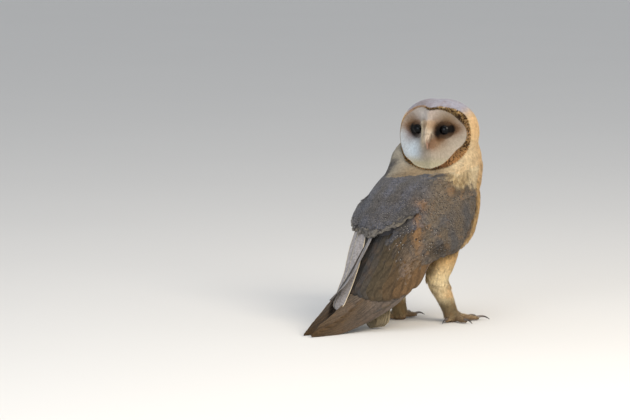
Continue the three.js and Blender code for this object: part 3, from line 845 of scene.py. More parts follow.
def head_colour(points):
    """Crown silvery, a cream line along the rim, sides and nape golden buff; painted shade low and on the
    left.
    """
    ahead, right, above = head_mm(points)
    forward, side, up = owl_mm(points)
    silver = step(8, 26, above + 0.18 * ahead) * step(48, 30, np.abs(right))
    near_rim = step(1.08, 1.03, disc_share(right, above)) * step(4, 12, ahead) * step(-6, 10, above)
    buff = np.clip(smooth_noise(points, 0.012, 1), 0, 1)
    low = step(-40, -50, above + 3 * smooth_noise(points, 0.02, 21)) * step(48, 34, side)
    return painted(
        NAPE,
        (SILVER, silver * 0.95),
        (CREAM, near_rim),
        (CREAM * 0.9, step(-4, -26, above) * step(-20, 10, ahead) * 0.6),
        (ORANGE_BUFF, 0.18 * buff),
        (CROWN_SHADE, 0.6 * blot(right, above, (18, 30), (14, 7)) * step(0, 14, ahead)),
        # painted shadow low on the nape, where the head overhangs the neck
        (RUFF_MOTTLE_AND_SHADOW, 0.75 * (low * step(20, -10, forward))),
        # painted cool shade on the head's left side, turned from the light
        (RUFF_IN_COOL_SHADE * 1.35, step(4, -30, side) * step(232, 206, up) * step(24, -6, forward)),
        (SLATE * 1.1, slate_share(points) * step(-20, -30, side) * step(0, -20, forward)),
    )


def slate_share(points):
    """1 on the slate mantle, 0 on the buff ruff above it."""
    forward, right, up = owl_mm(points)
    edge = 173.5 + 7 * step(15, -15, forward) - 0.12 * forward - 0.1 * right + 6 * step(2, -22, right)
    edge = edge - 2 * np.cos(2 * math.pi * (forward + 38) / 44) + 2.5 * smooth_noise(points, 0.014, 4)
    edge = edge + 2 * smooth_noise(points, 0.005, 24)
    return step(edge + 6, edge - 5, up)


def breast_edge(up):
    """How far forward the back's dark feathers end and the golden breast begins, in millimetres."""
    edge = 36 - 0.36 * np.maximum(150 - up, 0) + 0.2 * np.maximum(up - 150, 0)
    return edge - 2.5 * step(105, 120, up) * step(165, 150, up)


def body_colour(points):
    """Slate mantle, buff ruff above it, golden breast and belly; painted shade on the ruff, painted sheen on
    the mantle.
    """
    forward, right, up = owl_mm(points)
    mottle = 0.6 * smooth_noise(points, 0.016, 2) + 0.5 * smooth_noise(points, 0.006, 12)
    ruff = painted(
        RUFF,
        # painted cool shade on the ruff's left and back, turned from the light
        (RUFF_IN_COOL_SHADE, step(10, -20, right) * step(10, -10, forward)),
        (CREAM, np.clip(0.2 + 0.5 * mottle, 0, 1) * (0.4 + 0.6 * step(20, 50, right))),
        # the ruff's own darker mottling
        (RUFF_MOTTLE_AND_SHADOW, 0.5 * np.clip(-mottle - 0.2, 0, 1)),
        # painted shadow in a band just under the disc
        (RUFF_MOTTLE_AND_SHADOW, 0.4 * step(188, 180, up) * step(-30, -5, right) * step(54, 40, right)),
        (CREAM * 1.05, 0.5 * step(14, 28, forward) * step(34, 46, right)),
    )
    # blue by random mottling, and more on the owl's left: painted sky sheen there
    blue = np.clip(0.35 + 0.5 * smooth_noise(points, 0.03, 3) + 0.4 * step(0, -25, right), 0, 1)
    mantle = mixed(SLATE, SLATE_BLUE, blue)
    mantle = mantle * (1 - 0.25 * blot(forward, right, (-70, 36), (22, 16)))[:, None]
    side = step(38, 50, right) * step(-60, -35, forward)
    orange = 0 * up
    for middle, radii, share in ORANGE_PATCHES:
        orange = np.maximum(orange, share * blot(forward, up, middle, radii))
    flecks = 0.5 * np.clip(smooth_noise(points, 0.011, 9) - 0.4, 0, 1) * side
    orange = np.maximum(orange * (right > 20), flecks)
    mantle = painted(mantle, (GREY_BROWN * 1.1, side), (ORANGE_BUFF, 0.75 * orange))
    breast = painted(
        BREAST, (CREAM, step(150, 90, up) * 0.15), (NAPE * 0.95, step(150, 184, up + 4 * mottle)))
    edge = breast_edge(up)
    front = step(edge - 4, edge + 2, forward) + step(108, 100, up) * step(-95, -60, forward)
    return painted(ruff, (mantle, slate_share(points)), (breast, np.clip(front, 0, 1)))


def wing_colour(points, places):
    """Coverts grey-brown with orange-buff patches; painted shadow under the scapulars and in the hollow by
    the thigh.
    """
    lengthways, down = places[:, 0] * 270, places[:, 1] * 80
    forward, _, up = owl_mm(points)
    buff = 0.45 * np.clip(smooth_noise(points, 0.011, 6) - 0.6, 0, 1)
    for middle, radii, tilt, share in BUFF_PATCHES:
        buff = np.maximum(buff, share * blot(lengthways, down, middle, radii, tilt))
    edge = breast_edge(up)
    return painted(
        GREY_BROWN,
        (SLATE, np.clip(0.4 + 0.6 * smooth_noise(points, 0.02, 5), 0, 1)),
        (SLATE_BLUE, 0.3 * step(30, 10, down) * step(60, 90, lengthways)),
        # painted shadow below the scapular lobe
        (SHADOW_BROWN * 0.9, 0.85 * step(94, 120, lengthways) * step(60, 42, down)),
        (ORANGE_BUFF * 0.85, np.clip(buff, 0, 0.85)),
        # painted shadow in the hollow where the wing's lower edge meets the thigh
        (HOLLOW_PAINTED_SHADOW, 0.9 * blot(lengthways, down, (106, 73), (15, 7))),
        (BREAST, step(edge - 2, edge + 2, forward)),
        (RUFF, step(170, 176, up + 3 * smooth_noise(points, 0.01, 7))),
    )


def leg_colour(points):
    """Golden thighs that pale down the shank, rusty mottling above the foot; painted shadow on the near
    thigh, the far leg painted lighter.
    """
    forward, right, up = owl_mm(points)
    rusty = np.clip(smooth_noise(points, 0.007, 8), 0, 1) * step(62, 40, up)
    band = step(28, 34, up) * step(50, 42, up) * step(-12, 4, forward)
    # painted shadow on the near thigh, behind it and on its top under the wing's edge
    behind = step(-10, -16, forward - 0.3 * (up - 76)) * step(52, 62, up)
    shade = 0.8 * np.clip(behind + step(78, 90, up), 0, 1) * step(14, 2, forward) * (right > 0)
    colour = painted(
        SHANK,
        (THIGH, step(52, 84, up)),
        (ANKLE, step(36, 20, up)),
        (ORANGE_BUFF, 0.45 * rusty),
        (GOLD_BAND, 0.6 * band),
        (THIGH_PAINTED_SHADOW, shade),
    )
    # the far leg painted lighter against the shadow it lies in
    return colour * np.where(right > 0, 1.0, 1.2)[:, None]


def coat_colour(points, owner):
    """The coat's own colour at any place, by the node that it belongs to."""
    colour = body_colour(points)
    ahead, right, above = head_mm(points)
    on_head = owner == FLESH.index("head")
    colour[on_head] = head_colour(points[on_head])
    in_disc = on_head & (disc_share(right, above) < 1) & (ahead > 10)
    colour[in_disc] = face_colour(points[in_disc])
    for side in SIDES:
        part = owner == FLESH.index(f"wing_{side}")
        if part.any():
            colour[part] = wing_colour(points[part], WING_MAPS[side].find(points[part]))
        for node in ("thigh", "tarsus"):
            part = owner == FLESH.index(f"{node}_{side}")
            colour[part] = leg_colour(points[part])
        colour[owner == FLESH.index(f"foot_{side}")] = TOE
    return colour


# ---- which way the coat lies, and its charts ------------------------------------------------
def head_lie(points):
    """Back and down from the face, steeper behind and below."""
    ahead, right, above = head_mm(points)
    down = 0.15 + 1.2 * step(12, -38, ahead) + 0.9 * step(6, -34, above)
    back = 1 - 0.75 * step(-15, -46, ahead)
    lie = unit(-FACE * back[:, None] - UP * down[:, None])
    # below the disc the coat runs away from the rim
    chin = (step(1.6, 1.3, disc_share(right, above)) * step(8, 16, ahead) * step(-24, -34, above))[:, None]
    away = unit(FACE_RIGHT * right[:, None] + UP * (above + DISC["drop"])[:, None] + FACE * 12)
    return lie * (1 - chin) + away * chin


def body_lie(points):
    """Down the breast, more level along the back, and outward on the ruff."""
    forward, _, up = owl_mm(points)
    back = step(40, -10, forward) * step(172, 158, up)
    belly = step(112, 92, up)
    level = np.clip(0.9 * back + 0.8 * belly + 0.08, 0, 1.2)
    away = unit((points - HEAD) * [1, 1, 0]) * step(164, 178, up)[:, None]
    return away - FORWARD * level[:, None] - UP * (1 - 0.45 * back)[:, None]


def wing_lie(side, places):
    further = np.minimum(places + [0.02, 0.01], 1)
    ahead, here = (wing_point(SIDES[side], v[:, 0], v[:, 1])[0] for v in (further, places))
    return ahead - here


def chart_round(middle, low, high):
    """An unwrap round an upright axis: the angle, and the height from low to high."""
    def chart(points):
        q = points - middle
        turn = np.arctan2(q[:, 1], q[:, 0]) / (2 * math.pi) + 0.5
        return np.stack([0.02 + 0.96 * turn, 0.02 + 0.96 * (points[:, 2] - low) / (high - low)], axis=1)
    return chart


def chart_disc(points):
    """The disc laid flat: its angle and share give a round map."""
    _, right, above = head_mm(points)
    turn, share = np.radians(disc_turn(right, above)), disc_share(right, above)
    return np.stack([0.5 + 0.44 * share * np.sin(turn), 0.5 + 0.44 * share * np.cos(turn)], axis=1)


def chart_wing(side):
    def chart(points):
        return 0.02 + 0.96 * WING_MAPS[side].find(points)
    return chart


# ---- coat pieces ----------------------------------------------------------------------------
def owners(*nodes):
    numbers = [FLESH.index(node) for node in nodes]
    return lambda points, owner: np.isin(owner, numbers)


def shaded(colour, spread):
    """Colours with a chance lightness for each feather."""
    return colour * np.exp(RANDOM.normal(0, spread, (len(colour), 1)))


def laid(skin, coat, wanted, spacing_mm, lie_of, length_of, colour_of, width, lift, pattern,
         contrast, uneven, sway=0.08, **looks):
    """Lays a coat over part of the skin. Each feather has the colour of the place its tip covers.

    contrast is how light its root and tip are, uneven how much the feathers differ, and sway how
    far they stray from the lie."""
    roots, normals = skin.scattered(wanted, spacing_mm)
    lie = unit(lie_of(roots)) + RANDOM.normal(0, sway, roots.shape)
    length = length_of(roots) if callable(length_of) else length_of * np.ones(len(roots))
    lie = unit(lie - normals * dot(lie, normals)[:, None])
    tint = shaded(colour_of(roots + lie * (0.7 * length * MM)[:, None]), uneven)
    tints = (tint * light for light in contrast)
    coat.lay(roots, normals, lie, length, width, lift, *tints, pattern, **looks)


def in_disc(points, owner, edge=1.0):
    """Which places of the head lie in the disc, out to a share of its own rim."""
    ahead, right, above = head_mm(points)
    return (owner == FLESH.index("head")) & (disc_share(right, above) < edge) & (ahead > DISC_FROM_MM)


def face_lie(points):
    """Out from each eye, down the ridge between them, and always a little off the skin."""
    _, right, above = head_mm(points)
    out, side = np.abs(right), np.tanh(right / 5)
    from_eye = np.stack([out - EYES_OUT_MM, above], axis=1)
    flow = unit(from_eye) + np.stack([out / 60, (above + 6) / 50], axis=1)
    ridge = np.exp(-((out / 8.5) ** 2))[:, None]
    down_ridge = np.stack([0.25 + 0 * out, np.where(above > 12, 0.8, -1.0)], axis=1)
    flow = flow * (1 - ridge) + down_ridge * ridge
    return FACE_RIGHT * (flow[:, 0] * side)[:, None] + UP * flow[:, 1:]


def eye_distance(points):
    """How far a place of the face is from the nearer eye's middle, in millimetres."""
    _, right, above = head_mm(points)
    return np.hypot(np.abs(right) - EYES_OUT_MM, above)


def face_coat(skin, strand):
    """Fine plumes that spread over the disc from the eyes and the bridge."""
    coat = Coat(skin, chart_disc)
    opening = LID["half_width"] + 2.2

    def length(points):
        right = head_mm(points)[1]
        free = 7.5 - 3.8 * step(17, 9, eye_distance(points)) - 1.5 * np.exp(-((right / 8.5) ** 2))
        return np.clip(rim_depth(points) + 1.4, 1.8, free)

    def plain(points, owner):
        return in_disc(points, owner, 0.99) & (eye_distance(points) > opening) & (rim_depth(points) > 0.0)

    laid(skin, coat, plain, 0.56, face_lie, length, face_colour, 0.85, 1.4, strand, (0.94, 1.04), 0.05,
         sway=0.09, stand=0.02, steps=2)
    coat.make("face_plumes", SOFT_FINE, "crown")
    ridge = Coat(skin, chart_disc)

    def on_ridge(points, owner):
        _, right, above = head_mm(points)
        return in_disc(points, owner, 0.9) & (right > -5.5) & (right < 9) & (above > -12) & (above < 12)

    def ridge_lie(points):
        return FACE_RIGHT * (head_mm(points)[1] / 7)[:, None] - UP

    laid(skin, ridge, on_ridge, 0.62, ridge_lie, 5.0, face_colour, 0.8, 1.5, strand, (0.94, 1.03), 0.05,
         sway=0.07, stand=0.05, steps=3)
    ridge.make("bridge_plumes", SOFT_FINE, "crown")


def eye_plumes(skin, strand):
    """Short dark plumes from the edge of each eye's lids out over the disc."""
    coat, count = Coat(skin, chart_disc), 800
    for side in SIDES:
        turn = RANDOM.uniform(0, 2 * math.pi, count)
        near = LID["half_width"] + RANDOM.uniform(0.2, 2.2, count)
        far = near + RANDOM.uniform(3.2, 4.6, count)
        away = FACE_RIGHT * np.cos(turn)[:, None] + UP * np.sin(turn)[:, None]
        depth = np.sqrt(np.maximum((EYE_RADIUS / MM) ** 2 - near ** 2, 0)) + 0.2
        first = EYE_AT[side] + (away * near[:, None] + FACE * depth[:, None]) * MM
        last = EYE_AT[side] + (away * far[:, None] + FACE * 30) * MM
        found = [skin.tree.ray_cast(Vector(p), Vector(-FACE))[0] for p in last]
        last = np.array([p if f is None else f for p, f in zip(last, found)]) + FACE * 1.2 * MM
        middle = (first + last) / 2 + FACE * 0.9 * MM
        lane = np.stack([first, middle, last], axis=1)
        tint = shaded(face_colour(lane[:, 1]), 0.06)
        coat.bend(lane, np.broadcast_to(FACE, lane.shape), 0.65, tint * 0.35, tint * 0.9, strand, ragged=0.1)
    coat.make("eye_plumes", SOFT_FINE, "crown")


def bill_bristles(skin, strand):
    """Bristles that grow round the root of the bill and lie along it, leaving its tip bare."""
    coat, count = Coat(skin, chart_disc), 900
    angle = RANDOM.uniform(-2.2, 2.2, count)
    start = RANDOM.uniform(-0.25, 0.4, count)
    reach = RANDOM.uniform(0.32, 0.46, count)
    off = RANDOM.uniform(0.2, 1.7, count)
    lane, ups = [], []
    for share in np.linspace(0, 1, 4):
        down = start + reach * share
        ahead, above = through(BILL_PATH, np.maximum(down, 0)).T
        before, after = (through(BILL_PATH, np.clip(down + d, 0, 1)) for d in (-0.05, 0.05))
        along = unit(after - before)
        over_ahead, over_above = -along[:, 1], along[:, 0]
        flip = np.sign(over_ahead + 1e-9)
        # those that start above the bill's root lie on the face there
        above = above - np.minimum(down, 0) * 34
        ahead = ahead + np.minimum(down, 0) * 8
        radius = bill_radius(np.clip(down, 0, 1)) / MM + 0.25 + off * (0.4 + share)
        over_ahead, over_above = over_ahead * flip, over_above * flip
        sideways, upright = np.sin(angle), np.cos(angle)
        lane.append(in_head(ahead + over_ahead * radius * upright, radius * sideways,
                            above + over_above * radius * upright))
        ups.append(FACE * (over_ahead * upright)[:, None] + FACE_RIGHT * sideways[:, None]
                   + UP * (over_above * upright)[:, None])
    lane, ups = np.stack(lane, axis=1), unit(np.stack(ups, axis=1))
    tint = shaded(face_colour(lane[:, 2]), 0.08)
    coat.bend(lane, ups, 0.7, tint * 0.85, tint * 1.1, strand, ragged=0.2)
    coat.make("bill_bristles", SOFT_FINE, "crown")


# Round the rim: degrees from the top towards the head's left, width in mm, share of dark, of rust.
RIM = [
    [-180, 1.7, 0.7, 0.4], [-152, 1.6, 0.75, 0.1], [-137, 3.2, 0.95, 0], [-124, 1.7, 0.8, 0],
    [-90, 1.4, 0.7, 0],
    [-60, 1.2, 0.4, 0.3], [-35, 1.9, 0.4, 0.6], [-12, 1.5, 0.55, 0.5], [0, 2.2, 0.85, 0], [22, 3.0, 0.65, 0],
    [40, 4.2, 0.75, 0], [54, 4.6, 0.95, 0.1], [70, 2.2, 0.6, 0.3], [88, 1.7, 0.55, 0.3], [100, 3.4, 0.8, 0.2],
    [108, 5.5, 0.6, 0.3], [117, 7.5, 0.35, 0.5], [130, 7.5, 0.3, 0.5], [145, 6.0, 0.4, 0.7],
    [160, 4.0, 0.6, 0.9], [172, 2.6, 0.8, 0.8], [180, 1.7, 0.7, 0.4],
]


def rim_depth(points):
    """How far inside the rim's band a place of the disc lies, in millimetres."""
    _, right, above = head_mm(points)
    size = 40 * (1 - disc_share(right, above))
    return size - through(RIM, np.ravel(disc_turn(right, above)))[:, 0]


def rim_coat(skin, vane):
    """The disc's rim: short stiff feathers in overlapping rows, gold with dark tips."""
    coat = Coat(skin, chart_disc)
    rows, count = 6, 250
    for row in range(rows):
        turn = np.linspace(-180, 180, count, endpoint=False) + 360 / count * (0.5 * (row % 2))
        turn = np.clip(turn + RANDOM.normal(0, 0.5, count), -180, 180)
        width, dark, rust = through(RIM, turn).T
        share = 1.005 - (width + 0.6) / 40 * (1 - row / (rows - 1))
        right, above = disc_rim(turn, share)
        spots = in_head(44 + 0 * right, right, above)
        found = [skin.tree.ray_cast(Vector(p), Vector(-FACE)) for p in spots]
        spots = np.array([f[0] if f[0] is not None else p for f, p in zip(found, spots)])
        outward = unit(FACE_RIGHT * right[:, None] + UP * (above + DISC["drop"])[:, None])
        normals = unit(FACE + outward * (0.1 + 0.1 * row))
        pink = 0.6 * step(-70, -40, turn) * step(0, -14, turn)
        gold = painted(RIM_GOLD, (RIM_RUST, rust), (RIM_PINK, pink))
        chance = np.clip(dark + RANDOM.normal(0, 0.3, count) + 0.25 * (row < 1) * step(5, 7, width), 0, 1)
        tint = shaded(mixed(gold, RIM_BROWN, chance ** 1.5), 0.12)
        tip = shaded(mixed(gold * 1.15, RIM_BROWN * 0.8, np.clip(chance * 1.2 - 0.1, 0, 1)), 0.15)
        length, lift = np.clip(1.1 + 0.6 * width, 1.8, 3.8), np.clip(1.3 + 0.3 * width, 1.8, 2.4)
        coat.lay(spots, normals, outward + FACE * 0.7, length, 1.3 + 0.05 * width, lift, tint, tip, vane,
                 stand=0.34 - 0.03 * row, ragged=0.5, steps=3, sink_mm=0.2)
    coat.make("disc_rim", SOFT_FINE, "ruff")


def head_coat(skin, tuft):
    """Crown, cheeks and nape, in two pieces."""
    def length(points):
        return 7.5 + 6.5 * step(-26, -50, head_mm(points)[2])

    for name, upper in (("crown_feathers", True), ("nape_feathers", False)):
        def here(points, owner):
            above = head_mm(points)[2]
            return (owner == FLESH.index("head")) & ~in_disc(points, owner, 1.025) & ((above > -4) == upper)

        coat = Coat(skin, chart_round(HEAD, HEAD[2] - 0.06, HEAD[2] + 0.05))
        laid(skin, coat, here, 1.2, head_lie, length, head_colour,
             3.4, 2.2, tuft, (0.86, 1.05), 0.05, ragged=0.5)
        coat.make(name, SOFT, "crown")


def neck_coat(skin, tuft, vane):
    """The buff ruff's soft feathers, and the slate cape's vanes below them."""
    coat = Coat(skin, chart_round(ORIGIN, 0.14, 0.22))

    def ruff(points, owner):
        ahead, right, above = head_mm(points)
        clear = (ahead < 6) | (disc_share(right, above) > 1.12)
        return owners("neck")(points, owner) & (slate_share(points) < 0.7) & clear

    laid(skin, coat, ruff, 1.35, body_lie, 11, body_colour,
         4.4, 3.6, tuft, (0.84, 1.06), 0.07, 0.12, ragged=0.7)
    coat.make("neck_feathers", SOFT, "ruff")
    cape = Coat(skin, chart_round(ORIGIN, 0.14, 0.22))

    def slate(points, owner):
        return owners("neck")(points, owner) & (slate_share(points) > 0.45)

    laid(skin, cape, slate, 2.1, body_lie, 12, body_colour,
         7.0, 3.6, vane, (0.9, 1.05), 0.09, marks=0.5, ragged=0.2)
    cape.make("cape_feathers", PEARLED, "slate")


def on_back(points):
    """Which places lie under the back's dark feathers."""
    forward, _, up = owl_mm(points)
    return (forward < breast_edge(up)) & (up > 104)


def mantle_coat(skin, vane):
    """Back and scapulars: slate vanes, many with a pearl near the tip, longest over the wings."""
    coat = Coat(skin, chart_round(ORIGIN, 0.06, 0.18))
    trunk = FLESH.index("trunk")
    for from_mm, to_mm, marks in ((-math.inf, -30, 0.75), (-30, math.inf, 0.9)):
        def here(points, owner):
            forward = owl_mm(points)[0]
            return (owner == trunk) & on_back(points) & (forward >= from_mm) & (forward < to_mm)

        roots, normals = skin.scattered(here, 2.0)
        forward, _, up = owl_mm(roots)
        open_side = (dot(unit(body_lie(roots)), normals) < 0.6) & (normals[:, 2] > -0.1)
        open_side &= (up > 126) | (forward > -84)
        roots, normals = roots[open_side], normals[open_side]
        low = step(150, 120, up[open_side])
        lie = unit(body_lie(roots)) + RANDOM.normal(0, 0.07, roots.shape)
        length = 12 + 6 * low
        length, stiff = overhanging(skin, roots, normals, lie, length, 3.0)
        tint = shaded(body_colour(roots + unit(lie) * (0.7 * length * MM)[:, None]), 0.09)
        tip = mixed(tint * 1.06, CREAM * 0.6, 0.3 * (stiff > 0.5))
        coat.lay(roots, normals, lie, length, 7.2 + 3.5 * low, 3.3 + RANDOM.normal(0, 0.15, len(roots)),
                 tint * 0.9, tip, vane, ragged=0.2, marks=marks, stiff=stiff)
    coat.make("mantle_feathers", PEARLED, "slate")


def breast_coat(skin, tuft):
    """Breast, belly and sides, and the front of each wing that they cover."""
    coat = Coat(skin, chart_round(ORIGIN, 0.05, 0.18))
    trunk = FLESH.index("trunk")

    def here(points, owner):
        forward, _, up = owl_mm(points)
        on_wing = owners("wing_right", "wing_left")(points, owner) & (forward > breast_edge(up) - 3)
        return ((owner == trunk) & ~on_back(points)) | on_wing

    laid(skin, coat, here, 1.95, body_lie, 12, body_colour,
         5.4, 3.3, tuft, (0.85, 1.05), 0.06, 0.1, ragged=0.6)
    coat.make("breast_feathers", SOFT, "buff")


def covert_coat(skin, side, vane):
    """The wing's coverts, small at the wrist and larger towards the flight feathers."""
    coat = Coat(skin, chart_wing(side))
    own = owners(f"wing_{side}")
    bands = ((2.1, 0.0, 0.26, 0.9), (2.5, 0.26, 0.5, 0.5), (4.2, 0.42, 0.57, 0.0))
    for spacing, low, high, pearls in bands:
        roots, normals = skin.scattered(own, spacing)
        places = WING_MAPS[side].find(roots)
        outward = wing_point(SIDES[side], places[:, 0], places[:, 1])[1]
        last = high - 0.08 * step(0.5, 1, places[:, 1]) * (high > 0.3) + 0.02 * smooth_noise(roots, 0.012, 14)
        kept = (places[:, 0] >= low) & (places[:, 0] < np.where(high > 0.3, last, high))
        kept &= dot(normals, outward) > np.where(places[:, 0] < 0.45, -0.3, 0.0)
        kept &= owl_mm(roots)[0] < breast_edge(owl_mm(roots)[2])
        kept &= (pearls > 0) | (places[:, 1] > (0.04 if side == "right" else 0.3))
        roots, normals, places = roots[kept], normals[kept], places[kept]
        far = step(0.15, 0.5, places[:, 0]) + 0.5 * (pearls == 0)
        length = 10 + 12 * far
        lie = unit(wing_lie(side, places)) + RANDOM.normal(0, 0.06, roots.shape)
        length, stiff = overhanging(skin, roots, normals, lie, length)
        ahead = roots + unit(lie) * (0.7 * length * MM)[:, None]
        tint = shaded(wing_colour(ahead, WING_MAPS[side].find(ahead)), 0.1)
        lift = 2.6 - 0.6 * (pearls == 0) + RANDOM.normal(0, 0.12, len(roots))
        coat.lay(roots, normals, lie, length, 6.0 + 3.5 * far, lift, tint * 0.9, tint * 1.06, vane,
                 ragged=0.2, marks=pearls - 0.6 * np.minimum(far, 1) * pearls, stiff=stiff)
    coat.make(f"coverts_{side}", PEARLED, "slate")


def wing_lining(skin, side, tuft):
    """The wing's inner face, pale and soft."""
    coat = Coat(skin, chart_wing(side))
    roots, normals = skin.scattered(owners(f"wing_{side}"), 2.8)
    places = WING_MAPS[side].find(roots)
    outward = wing_point(SIDES[side], places[:, 0], places[:, 1])[1]
    inner = (dot(normals, outward) < -0.3) & (places[:, 0] < 0.55) & (places[:, 1] < 0.9)
    roots, normals, places = roots[inner], normals[inner], places[inner]
    tint = shaded(np.broadcast_to(CREAM * 0.8, roots.shape), 0.08)
    coat.lay(roots, normals, wing_lie(side, places), 10, 6, 1.6, tint * 0.8, tint, tuft, ragged=0.5)
    coat.make(f"wing_lining_{side}", SOFT, "slate")


def leg_coat(skin, side, tuft, strand):
    """Soft feathers on the thigh, fine ones on the shank, and a few that stand out on both."""
    low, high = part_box(f"tarsus_{side}")[0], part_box(f"thigh_{side}")[1]
    coat = Coat(skin, chart_round((np.array(low) + np.array(high)) / 2, low.z, high.z))

    def down(back):
        """The lie of a leg's feathers: down, and back by a share of that."""
        return lambda points: np.array([[0, back, -1.0]]) + 0 * points

    thigh, tarsus = f"thigh_{side}", f"tarsus_{side}"
    laid(skin, coat, owners(thigh), 1.35, down(0.25), 10, leg_colour,
         3.6, 2.9, tuft, (0.88, 1.05), 0.05, 0.1, ragged=0.7)
    laid(skin, coat, owners(tarsus), 0.75, down(-0.45), 6.0, leg_colour,
         0.8, 1.6, strand, (0.9, 1.05), 0.05, 0.14, stand=0.05, steps=3)
    laid(skin, coat, owners(thigh, tarsus), 3.6, down(0.1), 8.0, leg_colour,
         0.45, 1.8, strand, (1.0, 1.1), 0.05, 0.25, stand=0.22, steps=3)
    coat.make(f"leg_feathers_{side}", SOFT, "buff")


# ---- quills: flight and tail feathers -------------------------------------------------------
QUILL_THICK_MM = 0.3


def quill(lane, ups, width, tint, tip_tint, shift=0.0):
    """One long feather along a lane of points: its closed mesh's points, quads, tints, layout."""
    rows, columns = len(lane), 9
    along = np.linspace(0, 1, rows)
    heading = unit(np.gradient(lane, axis=0))
    side = unit(np.cross(ups, heading))
    ups = unit(np.cross(heading, side))
    wide = 0.35 + 0.65 * np.sin(math.pi / 2 * np.minimum(along / 0.35, 1))
    wide *= np.maximum(1 - np.maximum((along - 0.86) / 0.14, 0) ** 2.2, 0.0) ** 0.5
    wide[-1] = 0.14
    wide *= width * MM / 2
    across = np.linspace(-1, 1, columns)
    wave = 1 + 0.03 * np.sin(along * 23 + RANDOM.uniform(0, 6)) * (along > 0.4)
    outer = side[:, None] * ((across + shift)[None, :, None] * (wide * wave)[:, None, None])
    camber = -0.10 * wide[:, None, None] * (across[None, :, None]) ** 2
    top = lane[:, None] + outer + ups[:, None] * camber
    bottom = top - ups[:, None] * QUILL_THICK_MM * MM
    points = np.concatenate([top.reshape(-1, 3), bottom.reshape(-1, 3)])
    points[:, 2] = np.maximum(points[:, 2], FLOOR_GAP)
    grid = np.arange(rows * columns).reshape(rows, columns)
    a, b, c, d = grid[:-1, :-1], grid[:-1, 1:], grid[1:, 1:], grid[1:, :-1]
    quads = np.stack([a, b, c, d], axis=-1).reshape(-1, 4)
    under = quads[:, ::-1] + rows * columns
    edge = np.concatenate([grid[0], grid[1:, -1], grid[-1, -2::-1], grid[-2:0:-1, 0]])
    after = np.roll(edge, -1)
    rim = np.stack([after, edge, edge + rows * columns, after + rows * columns], axis=1)
    colour = mixed(tint, tip_tint, along ** 1.5)[:, None].repeat(columns, axis=1).reshape(-1, 3)
    layout = np.stack(np.broadcast_arrays(across[None] / 2 + 0.5, along[:, None]), axis=-1).reshape(-1, 2)
    tints = np.concatenate([colour, np.ones((len(colour), 1))], axis=1)
    return points, np.concatenate([quads, under, rim]), np.tile(tints, (2, 1)), np.tile(layout, (2, 1))


class Quills:
    """Long feathers of one piece, each with its own strip of the unwrap."""

    def __init__(self, strips):
        self.strips, self.parts, self.start = strips, [], 0

    def add(self, points, quads, tints, layout):
        """Takes in one quill, as quill() makes it."""
        number = len(self.parts)
        strip = (layout * [0.9, 0.96] + [0.05 + number, 0.02]) / [self.strips, 1]
        self.parts.append((points, quads + self.start, tints, layout, strip))
        self.start += len(points)

    def make(self, name, material, slot, *replaced):
        points, quads, tints, layout, strip = (np.concatenate(v) for v in zip(*self.parts))
        mesh = mesh_of(name, points, quads)
        dress(mesh, quads, tints, strip, layout)
        place(name, mesh, material, slot, *replaced)


# Secondaries, from the innermost: where each starts and ends, share along and down the wing.
SECONDARIES = {
    "right": [
        [0.40, 0.00, 0.775, 0.05], [0.43, 0.03, 0.765, 0.20], [0.44, 0.08, 0.755, 0.36],
        [0.43, 0.15, 0.745, 0.50], [0.41, 0.24, 0.73, 0.62], [0.385, 0.35, 0.71, 0.73],
        [0.355, 0.47, 0.685, 0.82], [0.32, 0.59, 0.65, 0.89], [0.29, 0.70, 0.615, 0.94],
        [0.26, 0.80, 0.575, 0.98],
    ],
    "left": [
        [0.42, 0.00, 0.84, 0.02], [0.42, 0.04, 0.825, 0.16], [0.40, 0.10, 0.80, 0.30],
        [0.38, 0.18, 0.77, 0.44], [0.36, 0.27, 0.74, 0.56], [0.34, 0.38, 0.71, 0.68],
        [0.32, 0.50, 0.68, 0.78], [0.29, 0.62, 0.65, 0.87], [0.26, 0.72, 0.615, 0.93],
        [0.23, 0.82, 0.575, 0.98],
    ],
}
# Primaries, from the innermost: the same, for both wings.
PRIMARIES = [
    [0.50, 0.45, 0.80, 0.30], [0.48, 0.52, 0.835, 0.34], [0.46, 0.58, 0.87, 0.38], [0.43, 0.64, 0.90, 0.43],
    [0.39, 0.70, 0.93, 0.49], [0.34, 0.76, 0.955, 0.56], [0.29, 0.82, 0.975, 0.66], [0.24, 0.88, 0.985, 0.80],
    [0.20, 0.93, 0.97, 0.92],
]


def wing_quills(side, rows, width, depth, tone_of):
    """A wing's quills, each a little deeper than the one before, with roots under the coverts."""
    made = []
    sign = SIDES[side]
    for number, (start, start_down, end, end_down) in enumerate(rows):
        tint, tip = tone_of(number)
        share = np.linspace(0, 1, 22)
        along = start + (end - start) * share
        down = start_down + (end_down - start_down) * share
        lane, ups = wing_point(sign, along, down)
        sink = 2.2 * (1 - share) ** 1.3 + depth[0] + depth[1] * number
        lane = lane + ups * (0.5 - sink)[:, None] * MM
        shade = math.exp(RANDOM.normal(0, 0.07))
        made.append(quill(lane, ups, width, tint * shade, tip * shade, shift=-0.12 * sign))
    return made


